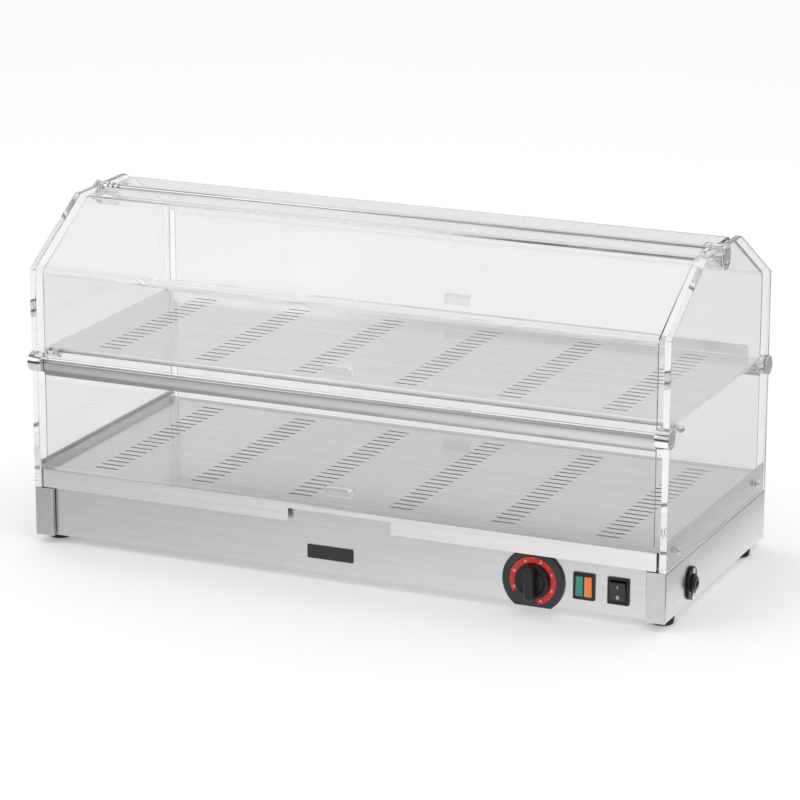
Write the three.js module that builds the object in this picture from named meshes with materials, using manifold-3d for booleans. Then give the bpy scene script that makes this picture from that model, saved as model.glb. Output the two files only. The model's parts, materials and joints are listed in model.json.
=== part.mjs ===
// Hot food display case for a counter: a heated stainless base under a two-level clear acrylic hood.
// Millimetres. X runs along the case, the customer side faces -Y, Z points up from the table top.
// The origin is on the table, under the middle of the case.
import * as THREE from 'three';
import { mergeVertices } from 'three/addons/utils/BufferGeometryUtils.js';
import Module from 'manifold-3d';

const wasm = await Module();
wasm.setup();

// ---- Driving dimensions ----

const caseWidth = 810;
const caseDepth = 352;
const footHeight = 10;
const baseHeight = 60;
const hoodHeight = 340;
const shoulderDrop = 68;
const flatTopDepth = 120;
const hoodCornerRadius = 6;

const sheet = 1.5;
const deckSheet = 1.2;
const hoodThickness = 8;
const fit = 0.3;
const throughCut = 2;

const flangeWidth = 24;
const flangeReturn = 6;
const bottomFoldWidth = 10;
const panelRecess = 7.5;
const panelTopFold = 12;

const deckRise = 24.5;
const deckEdgeRise = 5.5;
const upstandRise = 34.5;
const lipHeight = 23.2;
const fingerNotchWidth = 132;
const fingerNotchHeight = 15.7;

const slotRows = 6;
const slotRowPitch = 129.3;
const deckSlotsPerRow = 20;
const shelfSlotsPerRow = 18;
const slotPitch = 15;
const slotLength = 30;
const slotWidth = 3;

const shelfRise = 171.5;
const shelfDepth = 301;
const shelfEndGap = 1;
const shelfFrontDrop = 6.5;
const shelfRearRise = 13.5;
const shelfRearInset = 15;

const midRodRise = 157;
const midRodInset = 4;
const midRodRadius = 2;
const barrelRadius = 12;
const barrelCheekOutside = 1.7;
const barrelCheekInside = 7.4;
const rodSocketDepth = 5;

const topRodRadius = 3;
const topRodDrop = 2.3;
const tieRodRadius = 2.5;
const tieRodDrop = 19.5;
const clampPlateWidth = 26;
const clampPlateHeight = 31;
const clampPlateThickness = 2.5;
const clampTopBossRadius = 5;
const clampTopBossLength = 6.7;
const clampTieBossRadius = 8;
const clampTieBossLength = 18.7;
const clampPlateMargin = 1;
const bossOverlap = 1;

const upperFlapThickness = 4;
const upperFlapRodGap = 3;
const lowerFlapThickness = 3;
const flapEndGap = 0.7;
const flapBendRadius = 10;
const upperFlapFloorGap = 2;
const lowerFlapFloorGap = 2.5;
const knuckleRadius = 5.2;
const knuckleWidth = 4.6;
const knuckleSpacing = 7.4;
const knuckleArmReach = 24;
const sleeveRadius = 3.2;
const stripHeight = 15;
const stripThickness = 1.2;

const handleWidth = 34;
const handleHeight = 12;
const handleReach = 11;
const handleWall = 3.2;
const handleOuterRadius = 1;
const handleInnerRadius = 2;
const upperHandleRise = 24;
const lowerHandleRise = 12;

const shelfPinY = 141;
const shelfPinRadius = 5;
const shelfPinLength = 13.7;
const shelfPinDrop = 5.1;
const shelfPinHeadHeight = 5.2;
const hoodScrewY = 140;
const hoodScrewRise = 18;
const screwHeadRadius = 4.5;
const screwShankRadius = 2.5;
const screwHeadHeight = 3;
const screwHeadTaper = 1;
const screwTail = 1;

const controlRise = 28.5;
const frameRise = 1.4;
const badgeDrop = 2.8;
const dialX = 242.4;
const bezelRadius = 38.2;
const bezelHeight = 62.4;
const bezelThickness = 3;
const knobRadius = 21.5;
const knobSkirtHeight = 5;
const knobGripWidth = 13;
const knobGripHeight = 12;
const shaftRadius = 4;
const shaftEndGap = 0.5;
const knobBoreDepth = 10;
const thermostatWidth = 48;
const thermostatDepth = 32;
const thermostatHeight = 42;
const thermostatRise = 1;
const lampX = 304.2;
const rockerX = 345.9;
const cutoutFrameWidth = 26.2;
const cutoutFrameHeight = 32;
const cutoutFrameThickness = 2;
const cutoutBodyWidth = 22;
const cutoutBodyHeight = 28;
const cutoutBodyDepth = 18;
const lensWidth = 9.2;
const lensHeight = 24;
const lensPocketDepth = 2.5;
const lensBar = 1.4;
const lensProud = 0.8;
const rockerWidth = 19;
const rockerHeight = 24;
const rockerThrow = 16;
const rockerPivotDepth = 1;
const rockerPocketDepth = 9;
const rockerPocketMargin = 0.9;
const rockerFaceEnd = 3.6;
const rockerFaceWaist = 2.2;
const rockerFaceRadius = 0.8;
const rockerBackEnd = 1.2;
const rockerBackWaist = 3.2;
const badgeX = -14.4;
const badgeWidth = 59;
const badgeHeight = 16.5;
const badgeThickness = 1;

const glandY = -92;
const glandRise = 24.5;
const glandWidth = 28;
const glandHeight = 40;
const glandThickness = 3;
const glandBossRadius = 10.5;
const glandBossLength = 5;
const glandBore = 4.2;
const glandNeckRadius = 8.5;
const glandNeckLength = 14;

const footEndInset = 15;
const footFrontInset = 34;
const footRearInset = 50;
const footRadius = 14;
const footTaper = 1.5;

const heaterRadius = 4;
const heaterDrop = 26;
const heaterHalfLength = 330;
const heaterRunSpacing = 66;
const heaterBendReach = 1.33;
const bracketInset = 80;
const bracketFootWidth = 24;
const bracketWebThickness = 2;
const bracketOverhang = 14;

const terminalX = 300;
const terminalY = -120;
const terminalWidth = 60;
const terminalDepth = 20;
const terminalBaseTop = 20;
const terminalTop = 25;
const terminalBarrier = 1.5;
const terminalWays = 3;

const bulbX = 120;
const bulbLength = 70;
const bulbY = -110;
const bulbRadius = 3;
const bulbDrop = 6;

// ---- Places worked out from them ----

const halfWidth = caseWidth / 2;
const halfDepth = caseDepth / 2;
const baseBottom = footHeight;
const ledgeTop = footHeight + baseHeight;
const hoodTop = ledgeTop + hoodHeight;
const hoodInner = halfWidth - hoodThickness;
const upstandOuter = hoodInner - fit;
const upstandInner = upstandOuter - sheet;
const deckTop = ledgeTop + deckRise;
const deckUnder = deckTop - deckSheet;
const deckHalf = upstandInner - fit;
const lipBottom = deckTop - lipHeight;
const panelFace = halfDepth - panelRecess;
const panelBack = panelFace - deckSheet;
const floorHalf = halfWidth - bottomFoldWidth - fit;
const panelHalf = Math.min(deckHalf, floorHalf);
const shelfTop = ledgeTop + shelfRise;
const shelfHalf = hoodInner - shelfEndGap;
const midRodY = halfDepth - midRodInset;
const midRodZ = ledgeTop + midRodRise;
const barrelInner = hoodInner - fit - barrelCheekInside;
const barrelOuter = halfWidth + barrelCheekOutside;
const rodSocketEnd = barrelInner + rodSocketDepth;
const flapHalf = barrelInner - flapEndGap;
const topRodZ = hoodTop - topRodDrop;
const tieRodZ = hoodTop - tieRodDrop;
const hoodTilt = Math.atan2(shoulderDrop, halfDepth - flatTopDepth / 2);
const controlZ = baseBottom + controlRise;
const frameCentre = controlZ + frameRise;
const glandZ = baseBottom + glandRise;
const shelfPinZ = shelfTop - shelfPinDrop - shelfPinRadius;
const elementZ = deckUnder - heaterDrop;
const frontFace = -panelFace;

// ---- Finishes ----

const steel = { color: 0xc9cacc, roughness: 0.35, metalness: 0.9 };
const deckSteel = { color: 0xd2d3d5, roughness: 0.22, metalness: 0.95 };
const chrome = { color: 0xe6e7e9, roughness: 0.08, metalness: 1 };
const acrylic = { color: 0xeef4f4, roughness: 0.03, metalness: 0 };
const blackPlastic = { color: 0x141414, roughness: 0.4, metalness: 0 };
const greenLens = { color: 0x1f8f7d, roughness: 0.2, metalness: 0 };
const amberLens = { color: 0xe8760c, roughness: 0.2, metalness: 0 };
const rubber = { color: 0x111111, roughness: 0.8, metalness: 0 };
const ceramic = { color: 0xe6e0d2, roughness: 0.6, metalness: 0 };
const elementSteel = { color: 0x6b6a66, roughness: 0.5, metalness: 0.8 };

// ---- Solid helpers ----

function toSolid(geometry) {
  const plain = geometry.clone();
  plain.deleteAttribute('normal');
  plain.deleteAttribute('uv');
  const merged = mergeVertices(plain, 1e-4);
  return new wasm.Manifold(new wasm.Mesh({
    numProp: 3,
    vertProperties: new Float32Array(merged.attributes.position.array),
    triVerts: new Uint32Array(merged.index.array),
  }));
}

function toGeometry(solid) {
  const mesh = solid.getMesh();
  const geometry = new THREE.BufferGeometry();
  geometry.setAttribute('position', new THREE.BufferAttribute(mesh.vertProperties, 3));
  geometry.setIndex(new THREE.BufferAttribute(mesh.triVerts, 1));
  geometry.computeVertexNormals();
  return geometry;
}

function join(...geometries) {
  return toGeometry(geometries.map(toSolid).reduce((sum, next) => sum.add(next)));
}

function cut(geometry, ...tools) {
  return toGeometry(tools.map(toSolid).reduce((rest, tool) => rest.subtract(tool), toSolid(geometry)));
}

function ordered([a, b]) {
  return a < b ? [a, b] : [b, a];
}

// A block from its two limits along each axis, in either order.
function block(xs, ys, zs) {
  const [x0, x1] = ordered(xs);
  const [y0, y1] = ordered(ys);
  const [z0, z1] = ordered(zs);
  const geometry = new THREE.BoxGeometry(x1 - x0, y1 - y0, z1 - z0);
  return geometry.translate((x0 + x1) / 2, (y0 + y1) / 2, (z0 + z1) / 2);
}

// A cylinder along X, Y or Z, between two limits on that axis; centre gives the other two places.
function rod(axis, radius, limits, centre, segments = 20) {
  const [from, to] = ordered(limits);
  const middle = (from + to) / 2;
  const geometry = new THREE.CylinderGeometry(radius, radius, to - from, segments);
  if (axis === 'x') {
    return geometry.rotateZ(-Math.PI / 2).translate(middle, centre[0], centre[1]);
  }
  if (axis === 'y') {
    return geometry.translate(centre[0], middle, centre[1]);
  }
  return geometry.rotateX(Math.PI / 2).translate(centre[0], centre[1], middle);
}

// A turned piece along X: profile points are [x, radius], starting and ending on the axis.
function turned(profile, centre, segments = 20) {
  const points = profile.map(([x, radius]) => new THREE.Vector2(radius, x));
  const ascending = profile[profile.length - 1][0] > profile[0][0];
  const ordering = ascending ? points : points.reverse();
  const geometry = new THREE.LatheGeometry(ordering, segments);
  return geometry.rotateZ(-Math.PI / 2).translate(0, centre[0], centre[1]);
}

// An outline with each corner rounded by its own radius; corners are [u, v] or [u, v, radius].
function outline(corners) {
  const shape = new THREE.Shape();
  corners.forEach(([u, v, radius = 0], index) => {
    const here = new THREE.Vector2(u, v);
    const before = corners[(index + corners.length - 1) % corners.length];
    const after = corners[(index + 1) % corners.length];
    const back = new THREE.Vector2(before[0], before[1]).sub(here).normalize();
    const ahead = new THREE.Vector2(after[0], after[1]).sub(here).normalize();
    const reach = radius / Math.tan(Math.acos(back.dot(ahead)) / 2);
    const start = here.clone().addScaledVector(back, reach);
    const end = here.clone().addScaledVector(ahead, reach);
    if (index === 0) {
      shape.moveTo(start.x, start.y);
    } else {
      shape.lineTo(start.x, start.y);
    }
    if (radius > 0) {
      shape.quadraticCurveTo(u, v, end.x, end.y);
    }
  });
  shape.closePath();
  return shape;
}

function pushed(shape, depth, curveSegments) {
  return new THREE.ExtrudeGeometry(shape, { depth, bevelEnabled: false, curveSegments });
}

// A shape drawn in (y, z), pushed along X between two limits.
function alongX(shape, limits, curveSegments = 4) {
  const [from, to] = ordered(limits);
  const turn = new THREE.Matrix4().makeBasis(
    new THREE.Vector3(0, 1, 0), new THREE.Vector3(0, 0, 1), new THREE.Vector3(1, 0, 0));
  return pushed(shape, to - from, curveSegments).applyMatrix4(turn).translate(from, 0, 0);
}

// A shape drawn in (x, z), pushed along Y between two limits.
function alongY(shape, limits, curveSegments = 6) {
  const [from, to] = ordered(limits);
  return pushed(shape, to - from, curveSegments).rotateX(Math.PI / 2).translate(0, to, 0);
}

const group = new THREE.Group();

function addPart(name, geometry, finish) {
  const mesh = new THREE.Mesh(geometry, new THREE.MeshStandardMaterial(finish));
  mesh.name = name;
  group.add(mesh);
  return mesh;
}

const ends = [['left', -1], ['right', 1]];
const faces = [['front', -1], ['rear', 1]];

// ---- Base ----

// One folded side: wall, ledge for the hood, upstand, bottom fold, and a returned flange at each corner.
function baseSide(end) {
  const wall = block([end * (halfWidth - sheet), end * halfWidth], [-halfDepth, halfDepth],
    [baseBottom, ledgeTop]);
  const ledge = block([end * upstandInner, end * halfWidth], [-halfDepth, halfDepth],
    [ledgeTop - sheet, ledgeTop]);
  const upstand = block([end * upstandInner, end * upstandOuter], [sheet - halfDepth, halfDepth - sheet],
    [ledgeTop - sheet, ledgeTop + upstandRise]);
  const fold = block([end * (halfWidth - bottomFoldWidth), end * halfWidth], [-halfDepth, halfDepth],
    [baseBottom, baseBottom + sheet]);
  const flangeInner = end * (halfWidth - flangeWidth);
  const corners = faces.flatMap(([, face]) => [
    block([flangeInner, end * halfWidth], [face * (halfDepth - sheet), face * halfDepth],
      [baseBottom, ledgeTop]),
    block([flangeInner, flangeInner + end * sheet], [face * (halfDepth - flangeReturn), face * halfDepth],
      [baseBottom, ledgeTop]),
  ]);
  return join(wall, ledge, upstand, fold, ...corners);
}

function hoodScrewHoles(end) {
  return faces.map(([, face]) => rod('x', screwShankRadius + fit,
    [end * (upstandInner - throughCut), end * (halfWidth + throughCut)],
    [face * hoodScrewY, ledgeTop + hoodScrewRise], 12));
}

for (const [endName, end] of ends) {
  const tools = hoodScrewHoles(end);
  if (end > 0) {
    tools.push(rod('x', glandNeckRadius + fit,
      [halfWidth - sheet - throughCut, halfWidth + throughCut], [glandY, glandZ]));
  }
  addPart(`base_side_${endName}`, cut(baseSide(end), ...tools), steel);
}

// The front and rear panels stand back from the corner flanges and fold in under the deck.
function basePanel(face) {
  const upright = block([-panelHalf, panelHalf], [face * panelBack, face * panelFace],
    [baseBottom, deckUnder - fit]);
  const topFold = block([-panelHalf, panelHalf], [face * (panelBack - panelTopFold), face * panelFace],
    [deckUnder - fit - deckSheet, deckUnder - fit]);
  return join(upright, topFold);
}

const bodyPassage = [panelBack - throughCut, panelFace + throughCut].map((y) => -y);
const cutoutTools = [lampX, rockerX].map((x) => block(
  [x - cutoutBodyWidth / 2 - fit, x + cutoutBodyWidth / 2 + fit], bodyPassage,
  [frameCentre - cutoutBodyHeight / 2 - fit, frameCentre + cutoutBodyHeight / 2 + fit]));
const shaftTool = rod('y', shaftRadius + 2 * fit, bodyPassage, [dialX, controlZ]);

addPart('front_panel', cut(basePanel(-1), shaftTool, ...cutoutTools), steel);
addPart('rear_panel', basePanel(1), steel);
addPart('base_plate', block([-floorHalf, floorHalf], [fit - panelBack, panelBack - fit],
  [baseBottom, baseBottom + deckSheet]), steel);

const footPlaces = [['front', footFrontInset - halfDepth], ['rear', halfDepth - footRearInset]];
for (const [faceName, footY] of footPlaces) {
  for (const [endName, end] of ends) {
    const foot = new THREE.CylinderGeometry(footRadius, footRadius - footTaper, footHeight - fit, 20);
    foot.rotateX(Math.PI / 2).translate(end * (halfWidth - footEndInset), footY, (footHeight - fit) / 2);
    addPart(`foot_${faceName}_${endName}`, foot, rubber);
  }
}

// ---- Perforated deck and shelf ----

function slotTools(top, slotsPerRow) {
  const tools = [];
  for (let row = 0; row < slotRows; row += 1) {
    const x = (row - (slotRows - 1) / 2) * slotRowPitch;
    for (let index = 0; index < slotsPerRow; index += 1) {
      const y = (index - (slotsPerRow - 1) / 2) * slotPitch;
      tools.push(block([x - slotLength / 2, x + slotLength / 2], [y - slotWidth / 2, y + slotWidth / 2],
        [top - 2 * deckSheet, top + deckSheet]));
    }
  }
  return tools;
}

function deck() {
  const plate = block([-deckHalf, deckHalf], [-halfDepth, halfDepth], [deckUnder, deckTop]);
  const lips = faces.map(([, face]) => block([-deckHalf, deckHalf],
    [face * (halfDepth - deckSheet), face * halfDepth], [lipBottom, deckTop]));
  const edges = ends.map(([, end]) => block([end * (deckHalf - deckSheet), end * deckHalf],
    [-halfDepth, halfDepth], [deckUnder, deckTop + deckEdgeRise]));
  const notch = block([-fingerNotchWidth / 2, fingerNotchWidth / 2],
    [-halfDepth - throughCut, 2 * deckSheet - halfDepth],
    [lipBottom - throughCut, lipBottom + fingerNotchHeight]);
  return cut(join(plate, ...lips, ...edges), notch, ...slotTools(deckTop, deckSlotsPerRow));
}

addPart('heated_deck', deck(), deckSteel);

function shelf() {
  const halfShelf = shelfDepth / 2;
  const under = shelfTop - deckSheet;
  const plate = block([-shelfHalf, shelfHalf], [-halfShelf, halfShelf], [under, shelfTop]);
  const frontDrop = block([-shelfHalf, shelfHalf], [-halfShelf, deckSheet - halfShelf],
    [shelfTop - shelfFrontDrop, shelfTop]);
  const rearRise = block([shelfRearInset - shelfHalf, shelfHalf - shelfRearInset],
    [halfShelf - deckSheet, halfShelf], [under, shelfTop + shelfRearRise]);
  const pinTop = shelfPinZ + shelfPinRadius;
  const sideDrops = ends.map(([, end]) => block([end * (shelfHalf - deckSheet), end * shelfHalf],
    [-halfShelf, halfShelf], [pinTop + fit, shelfTop]));
  return cut(join(plate, frontDrop, rearRise, ...sideDrops), ...slotTools(shelfTop, shelfSlotsPerRow));
}

addPart('display_shelf', shelf(), deckSteel);

// ---- Clear hood sides and their hardware ----

function hoodSide(end) {
  const shoulderZ = hoodTop - shoulderDrop;
  const bottom = ledgeTop + fit;
  const shape = outline([
    [-halfDepth, bottom], [halfDepth, bottom], [halfDepth, shoulderZ, hoodCornerRadius],
    [flatTopDepth / 2, hoodTop, hoodCornerRadius], [-flatTopDepth / 2, hoodTop, hoodCornerRadius],
    [-halfDepth, shoulderZ, hoodCornerRadius],
  ]);
  const span = [end * hoodInner, end * halfWidth];
  const through = [end * (hoodInner - throughCut), end * (halfWidth + throughCut)];
  const slotHalf = clampTopBossRadius + fit;
  const topSlot = join(
    rod('x', slotHalf, through, [0, tieRodZ]),
    block(through, [-slotHalf, slotHalf], [tieRodZ, hoodTop + throughCut]));
  const pinHoles = faces.map(([, face]) => rod('x', screwShankRadius + fit, through,
    [face * shelfPinY, shelfPinZ], 12));
  return cut(alongX(shape, span), topSlot, ...pinHoles, ...hoodScrewHoles(end));
}

function shelfPin(end, face) {
  const inner = end * (hoodInner - fit);
  const outer = end * (halfWidth + fit);
  const profile = [
    [inner - end * shelfPinLength, 0], [inner - end * shelfPinLength, shelfPinRadius],
    [inner, shelfPinRadius], [inner, screwShankRadius], [outer, screwShankRadius],
    [outer, screwHeadRadius], [outer + end * screwHeadHeight, screwHeadRadius],
    [outer + end * shelfPinHeadHeight, 0],
  ];
  return turned(profile, [face * shelfPinY, shelfPinZ], 16);
}

function hoodScrew(end, face) {
  const outer = end * (halfWidth + fit);
  const nutFace = end * (upstandInner - fit);
  const tail = nutFace - end * (screwHeadHeight + screwTail);
  const profile = [
    [tail, 0], [tail, screwShankRadius],
    [nutFace - end * screwHeadHeight, screwShankRadius], [nutFace - end * screwHeadHeight, screwHeadRadius],
    [nutFace, screwHeadRadius], [nutFace, screwShankRadius], [outer, screwShankRadius],
    [outer, screwHeadRadius], [outer + end * screwHeadHeight, screwHeadRadius - screwHeadTaper],
    [outer + end * screwHeadHeight, 0],
  ];
  return turned(profile, [face * hoodScrewY, ledgeTop + hoodScrewRise], 12);
}

// A round clamp that grips the upright edge of a hood side and holds the end of a hinge rod.
function barrel(end, face) {
  const body = rod('x', barrelRadius, [end * barrelInner, end * barrelOuter],
    [face * midRodY, midRodZ], 28);
  const grip = block([end * (hoodInner - fit), end * (halfWidth + fit)],
    [0, face * (halfDepth + fit)], [midRodZ - 2 * barrelRadius, midRodZ + 2 * barrelRadius]);
  const socket = rod('x', midRodRadius + fit, [end * (barrelInner - throughCut), end * rodSocketEnd],
    [face * midRodY, midRodZ], 16);
  return cut(body, grip, socket);
}

function topClamp(end) {
  const radius = clampPlateWidth / 2;
  const plateTop = topRodZ + clampTopBossRadius + clampPlateMargin;
  const plateCentre = plateTop - clampPlateHeight / 2;
  const straight = (clampPlateHeight - clampPlateWidth) / 2;
  const shape = new THREE.Shape();
  shape.absarc(0, plateCentre + straight, radius, 0, Math.PI, false);
  shape.absarc(0, plateCentre - straight, radius, Math.PI, 2 * Math.PI, false);
  const face = halfWidth + fit;
  const plate = alongX(shape, [end * face, end * (face + clampPlateThickness)], 12);
  const inPlate = end * (face + bossOverlap);
  const upperBoss = rod('x', clampTopBossRadius,
    [end * (hoodInner - fit - clampTopBossLength), inPlate], [0, topRodZ]);
  const neck = rod('x', clampTopBossRadius, [end * (hoodInner - fit - bossOverlap), inPlate], [0, tieRodZ]);
  const tieEnd = hoodInner - fit - clampTieBossLength;
  const tieBoss = rod('x', clampTieBossRadius, [end * tieEnd, end * (hoodInner - fit)], [0, tieRodZ]);
  const topSocket = rod('x', topRodRadius + fit,
    [end * (hoodInner - fit - clampTopBossLength - throughCut), end * topRodEnd], [0, topRodZ], 16);
  const tieSocket = rod('x', tieRodRadius + fit, [end * (tieEnd - throughCut), end * tieRodEnd],
    [0, tieRodZ], 16);
  return cut(join(plate, upperBoss, neck, tieBoss), topSocket, tieSocket);
}

const topRodEnd = hoodInner - fit - clampTopBossLength + rodSocketDepth;
const tieRodEnd = hoodInner - fit - clampTieBossLength + rodSocketDepth;

for (const [endName, end] of ends) {
  addPart(`hood_side_${endName}`, hoodSide(end), acrylic);
  addPart(`top_clamp_${endName}`, topClamp(end), chrome);
  for (const [faceName, face] of faces) {
    addPart(`shelf_pin_${faceName}_${endName}`, shelfPin(end, face), chrome);
    addPart(`hood_screw_${faceName}_${endName}`, hoodScrew(end, face), chrome);
    addPart(`rod_barrel_${faceName}_${endName}`, barrel(end, face), chrome);
  }
}

const rodGap = fit;
addPart('top_rod', rod('x', topRodRadius, [rodGap - topRodEnd, topRodEnd - rodGap], [0, topRodZ]), chrome);
addPart('tie_rod', rod('x', tieRodRadius, [rodGap - tieRodEnd, tieRodEnd - rodGap], [0, tieRodZ]), chrome);
for (const [faceName, face] of faces) {
  addPart(`mid_rod_${faceName}`, rod('x', midRodRadius, [rodGap - rodSocketEnd, rodSocketEnd - rodGap],
    [face * midRodY, midRodZ], 16), chrome);
}

// ---- Flaps ----

// The two bends of the hood outline, set in from the hood sides' edge by a distance.
function hoodBends(inset) {
  const top = [flatTopDepth / 2 - inset * Math.tan(hoodTilt / 2), hoodTop - inset];
  const shoulder = [halfDepth - inset,
    hoodTop - shoulderDrop - inset * Math.tan((Math.PI / 2 - hoodTilt) / 2)];
  return [top, shoulder];
}

function knuckleSpan(end, place) {
  const outer = flapHalf - fit - place * knuckleSpacing;
  return [end * outer, end * (outer - knuckleWidth)];
}

// The bent sheet, from beside the top rod down to just above the hinge rod below it.
function upperFlapSheet(face, knucklePlace) {
  const outerInset = topRodDrop;
  const innerInset = topRodDrop + upperFlapThickness;
  const [outerTop, outerShoulder] = hoodBends(outerInset);
  const [innerTop, innerShoulder] = hoodBends(innerInset);
  const rearEdge = topRodRadius + upperFlapRodGap;
  const floor = midRodZ + sleeveRadius + upperFlapFloorGap;
  const innerRadius = flapBendRadius - upperFlapThickness;
  const corners = [
    [rearEdge, hoodTop - outerInset], [...outerTop, flapBendRadius], [...outerShoulder, flapBendRadius],
    [halfDepth - outerInset, floor], [halfDepth - innerInset, floor],
    [...innerShoulder, innerRadius], [...innerTop, innerRadius], [rearEdge, hoodTop - innerInset],
  ];
  const shape = outline(corners.map(([y, z, radius]) => [face * y, z, radius]));
  const notches = ends.map(([, end]) => {
    const [outer, inner] = knuckleSpan(end, knucklePlace);
    const open = knucklePlace === 0 ? end * (flapHalf + throughCut) : outer + end * fit;
    return block([open, inner - end * fit], [0, face * (knuckleArmReach + fit)],
      [hoodTop - innerInset - throughCut, hoodTop + throughCut]);
  });
  return cut(alongX(shape, [-flapHalf, flapHalf]), ...notches);
}

// A ring that turns on the top rod, with an arm let into the edge of the flap.
function knuckle(end, face, place) {
  const span = knuckleSpan(end, place);
  const top = hoodTop - topRodDrop;
  const ring = rod('x', knuckleRadius, span, [0, topRodZ]);
  const arm = block(span, [0, face * knuckleArmReach], [top - upperFlapThickness, top]);
  const bore = rod('x', topRodRadius + fit, [span[0] + end, span[1] - end], [0, topRodZ], 16);
  return cut(join(ring, arm), bore);
}

// A finger lip: a pad against the flap with a ledge that stands out from its top edge.
function handle(face, surfaceY, bottomZ) {
  const near = surfaceY + fit;
  const far = surfaceY + handleReach;
  const top = bottomZ + handleHeight;
  const shape = outline([
    [face * near, bottomZ], [face * (near + handleWall), bottomZ, handleOuterRadius],
    [face * (near + handleWall), top - handleWall, handleInnerRadius],
    [face * far, top - handleWall, handleOuterRadius],
    [face * far, top, handleOuterRadius], [face * near, top],
  ]);
  return alongX(shape, [-handleWidth / 2, handleWidth / 2], 3);
}

const stripOuter = midRodY + sleeveRadius;
const stripInner = stripOuter - stripThickness;
const lowerFlapFace = stripInner - fit;
const lowerFlapFloor = deckTop + lowerFlapFloorGap;
const stripBottom = midRodZ - stripHeight;

// A hinge strip rolled round the rod, with its leaf over the top of the sheet.
function hingeStrip(face) {
  const sleeve = rod('x', sleeveRadius, [-flapHalf, flapHalf], [face * midRodY, midRodZ]);
  const leaf = block([-flapHalf, flapHalf], [face * stripInner, face * stripOuter], [stripBottom, midRodZ]);
  const bore = rod('x', midRodRadius + fit, [-flapHalf - throughCut, flapHalf + throughCut],
    [face * midRodY, midRodZ], 16);
  return cut(join(sleeve, leaf), bore);
}

function lowerFlapSheet(face) {
  return block([-flapHalf, flapHalf], [face * lowerFlapFace, face * (lowerFlapFace - lowerFlapThickness)],
    [lowerFlapFloor, midRodZ - sleeveRadius - fit]);
}

faces.forEach(([faceName, face], place) => {
  const upperFloor = midRodZ + sleeveRadius + upperFlapFloorGap;
  addPart(`upper_flap_${faceName}`, upperFlapSheet(face, place), acrylic);
  for (const [endName, end] of ends) {
    addPart(`flap_knuckle_${faceName}_${endName}`, knuckle(end, face, place), chrome);
  }
  addPart(`upper_handle_${faceName}`,
    handle(face, halfDepth - topRodDrop, upperFloor + upperHandleRise), acrylic);
  addPart(`lower_flap_${faceName}`, lowerFlapSheet(face), acrylic);
  addPart(`hinge_strip_${faceName}`, hingeStrip(face), steel);
  addPart(`lower_handle_${faceName}`,
    handle(face, lowerFlapFace, lowerFlapFloor + lowerHandleRise), acrylic);
});

// ---- Controls ----

const bezelFront = frontFace - fit - bezelThickness;

function bezel() {
  const cutAngle = Math.asin(bezelHeight / 2 / bezelRadius);
  const shape = new THREE.Shape();
  shape.absarc(dialX, controlZ, bezelRadius, -cutAngle, cutAngle, false);
  shape.absarc(dialX, controlZ, bezelRadius, Math.PI - cutAngle, Math.PI + cutAngle, false);
  const plate = alongY(shape, [frontFace - fit, bezelFront], 12);
  return cut(plate, rod('y', shaftRadius + 2 * fit, [frontFace + throughCut, bezelFront - throughCut],
    [dialX, controlZ]));
}

function knob() {
  const back = bezelFront - fit;
  const skirtFront = back - knobSkirtHeight;
  const skirt = rod('y', knobRadius, [back, skirtFront], [dialX, controlZ], 36);
  const half = knobGripWidth / 2;
  const reach = knobRadius - half;
  const shape = new THREE.Shape();
  shape.absarc(dialX, controlZ + reach, half, 0, Math.PI, false);
  shape.absarc(dialX, controlZ - reach, half, Math.PI, 2 * Math.PI, false);
  const grip = alongY(shape, [skirtFront + bossOverlap, skirtFront - knobGripHeight], 8);
  const bore = rod('y', shaftRadius + fit, [back + throughCut, back - knobBoreDepth], [dialX, controlZ], 16);
  return cut(join(skirt, grip), bore);
}

function thermostat() {
  const bodyFront = fit - panelBack;
  const middle = controlZ + thermostatRise;
  const body = block([dialX - thermostatWidth / 2, dialX + thermostatWidth / 2],
    [bodyFront, bodyFront + thermostatDepth],
    [middle - thermostatHeight / 2, middle + thermostatHeight / 2]);
  const shaftEnd = bezelFront - fit - knobBoreDepth + shaftEndGap;
  const shaft = rod('y', shaftRadius, [bodyFront + bossOverlap, shaftEnd], [dialX, controlZ], 16);
  return join(body, shaft);
}

addPart('thermostat_bezel', bezel(), blackPlastic);
addPart('thermostat_knob', knob(), blackPlastic);
addPart('thermostat', thermostat(), ceramic);

// A snap-in frame: front plate, and a body that passes through the panel.
const frameBack = frontFace - fit;
const frameFront = frameBack - cutoutFrameThickness;

function snapFrame(x) {
  const plate = block([x - cutoutFrameWidth / 2, x + cutoutFrameWidth / 2], [frameBack, frameFront],
    [frameCentre - cutoutFrameHeight / 2, frameCentre + cutoutFrameHeight / 2]);
  const body = block([x - cutoutBodyWidth / 2, x + cutoutBodyWidth / 2],
    [frameBack - bossOverlap, frameBack + cutoutBodyDepth],
    [frameCentre - cutoutBodyHeight / 2, frameCentre + cutoutBodyHeight / 2]);
  return join(plate, body);
}

const lensOffset = (lensWidth + lensBar) / 2;

function lensBlock(x, grow, front, back) {
  return block([x - lensWidth / 2 - grow, x + lensWidth / 2 + grow], [front, back],
    [frameCentre - lensHeight / 2 - grow, frameCentre + lensHeight / 2 + grow]);
}

const lensBack = frameFront + lensPocketDepth;
const lensPlaces = [lampX - lensOffset, lampX + lensOffset];
addPart('lamp_frame', cut(snapFrame(lampX),
  ...lensPlaces.map((x) => lensBlock(x, fit, frameFront - throughCut, lensBack))), blackPlastic);
addPart('lamp_lens_green', lensBlock(lensPlaces[0], 0, frameFront - lensProud, lensBack - fit), greenLens);
addPart('lamp_lens_amber', lensBlock(lensPlaces[1], 0, frameFront - lensProud, lensBack - fit), amberLens);

// The rocker is drawn level, then set at half its throw with the lower end pressed in.
const rockerPivotY = frameFront + rockerPivotDepth;

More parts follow.
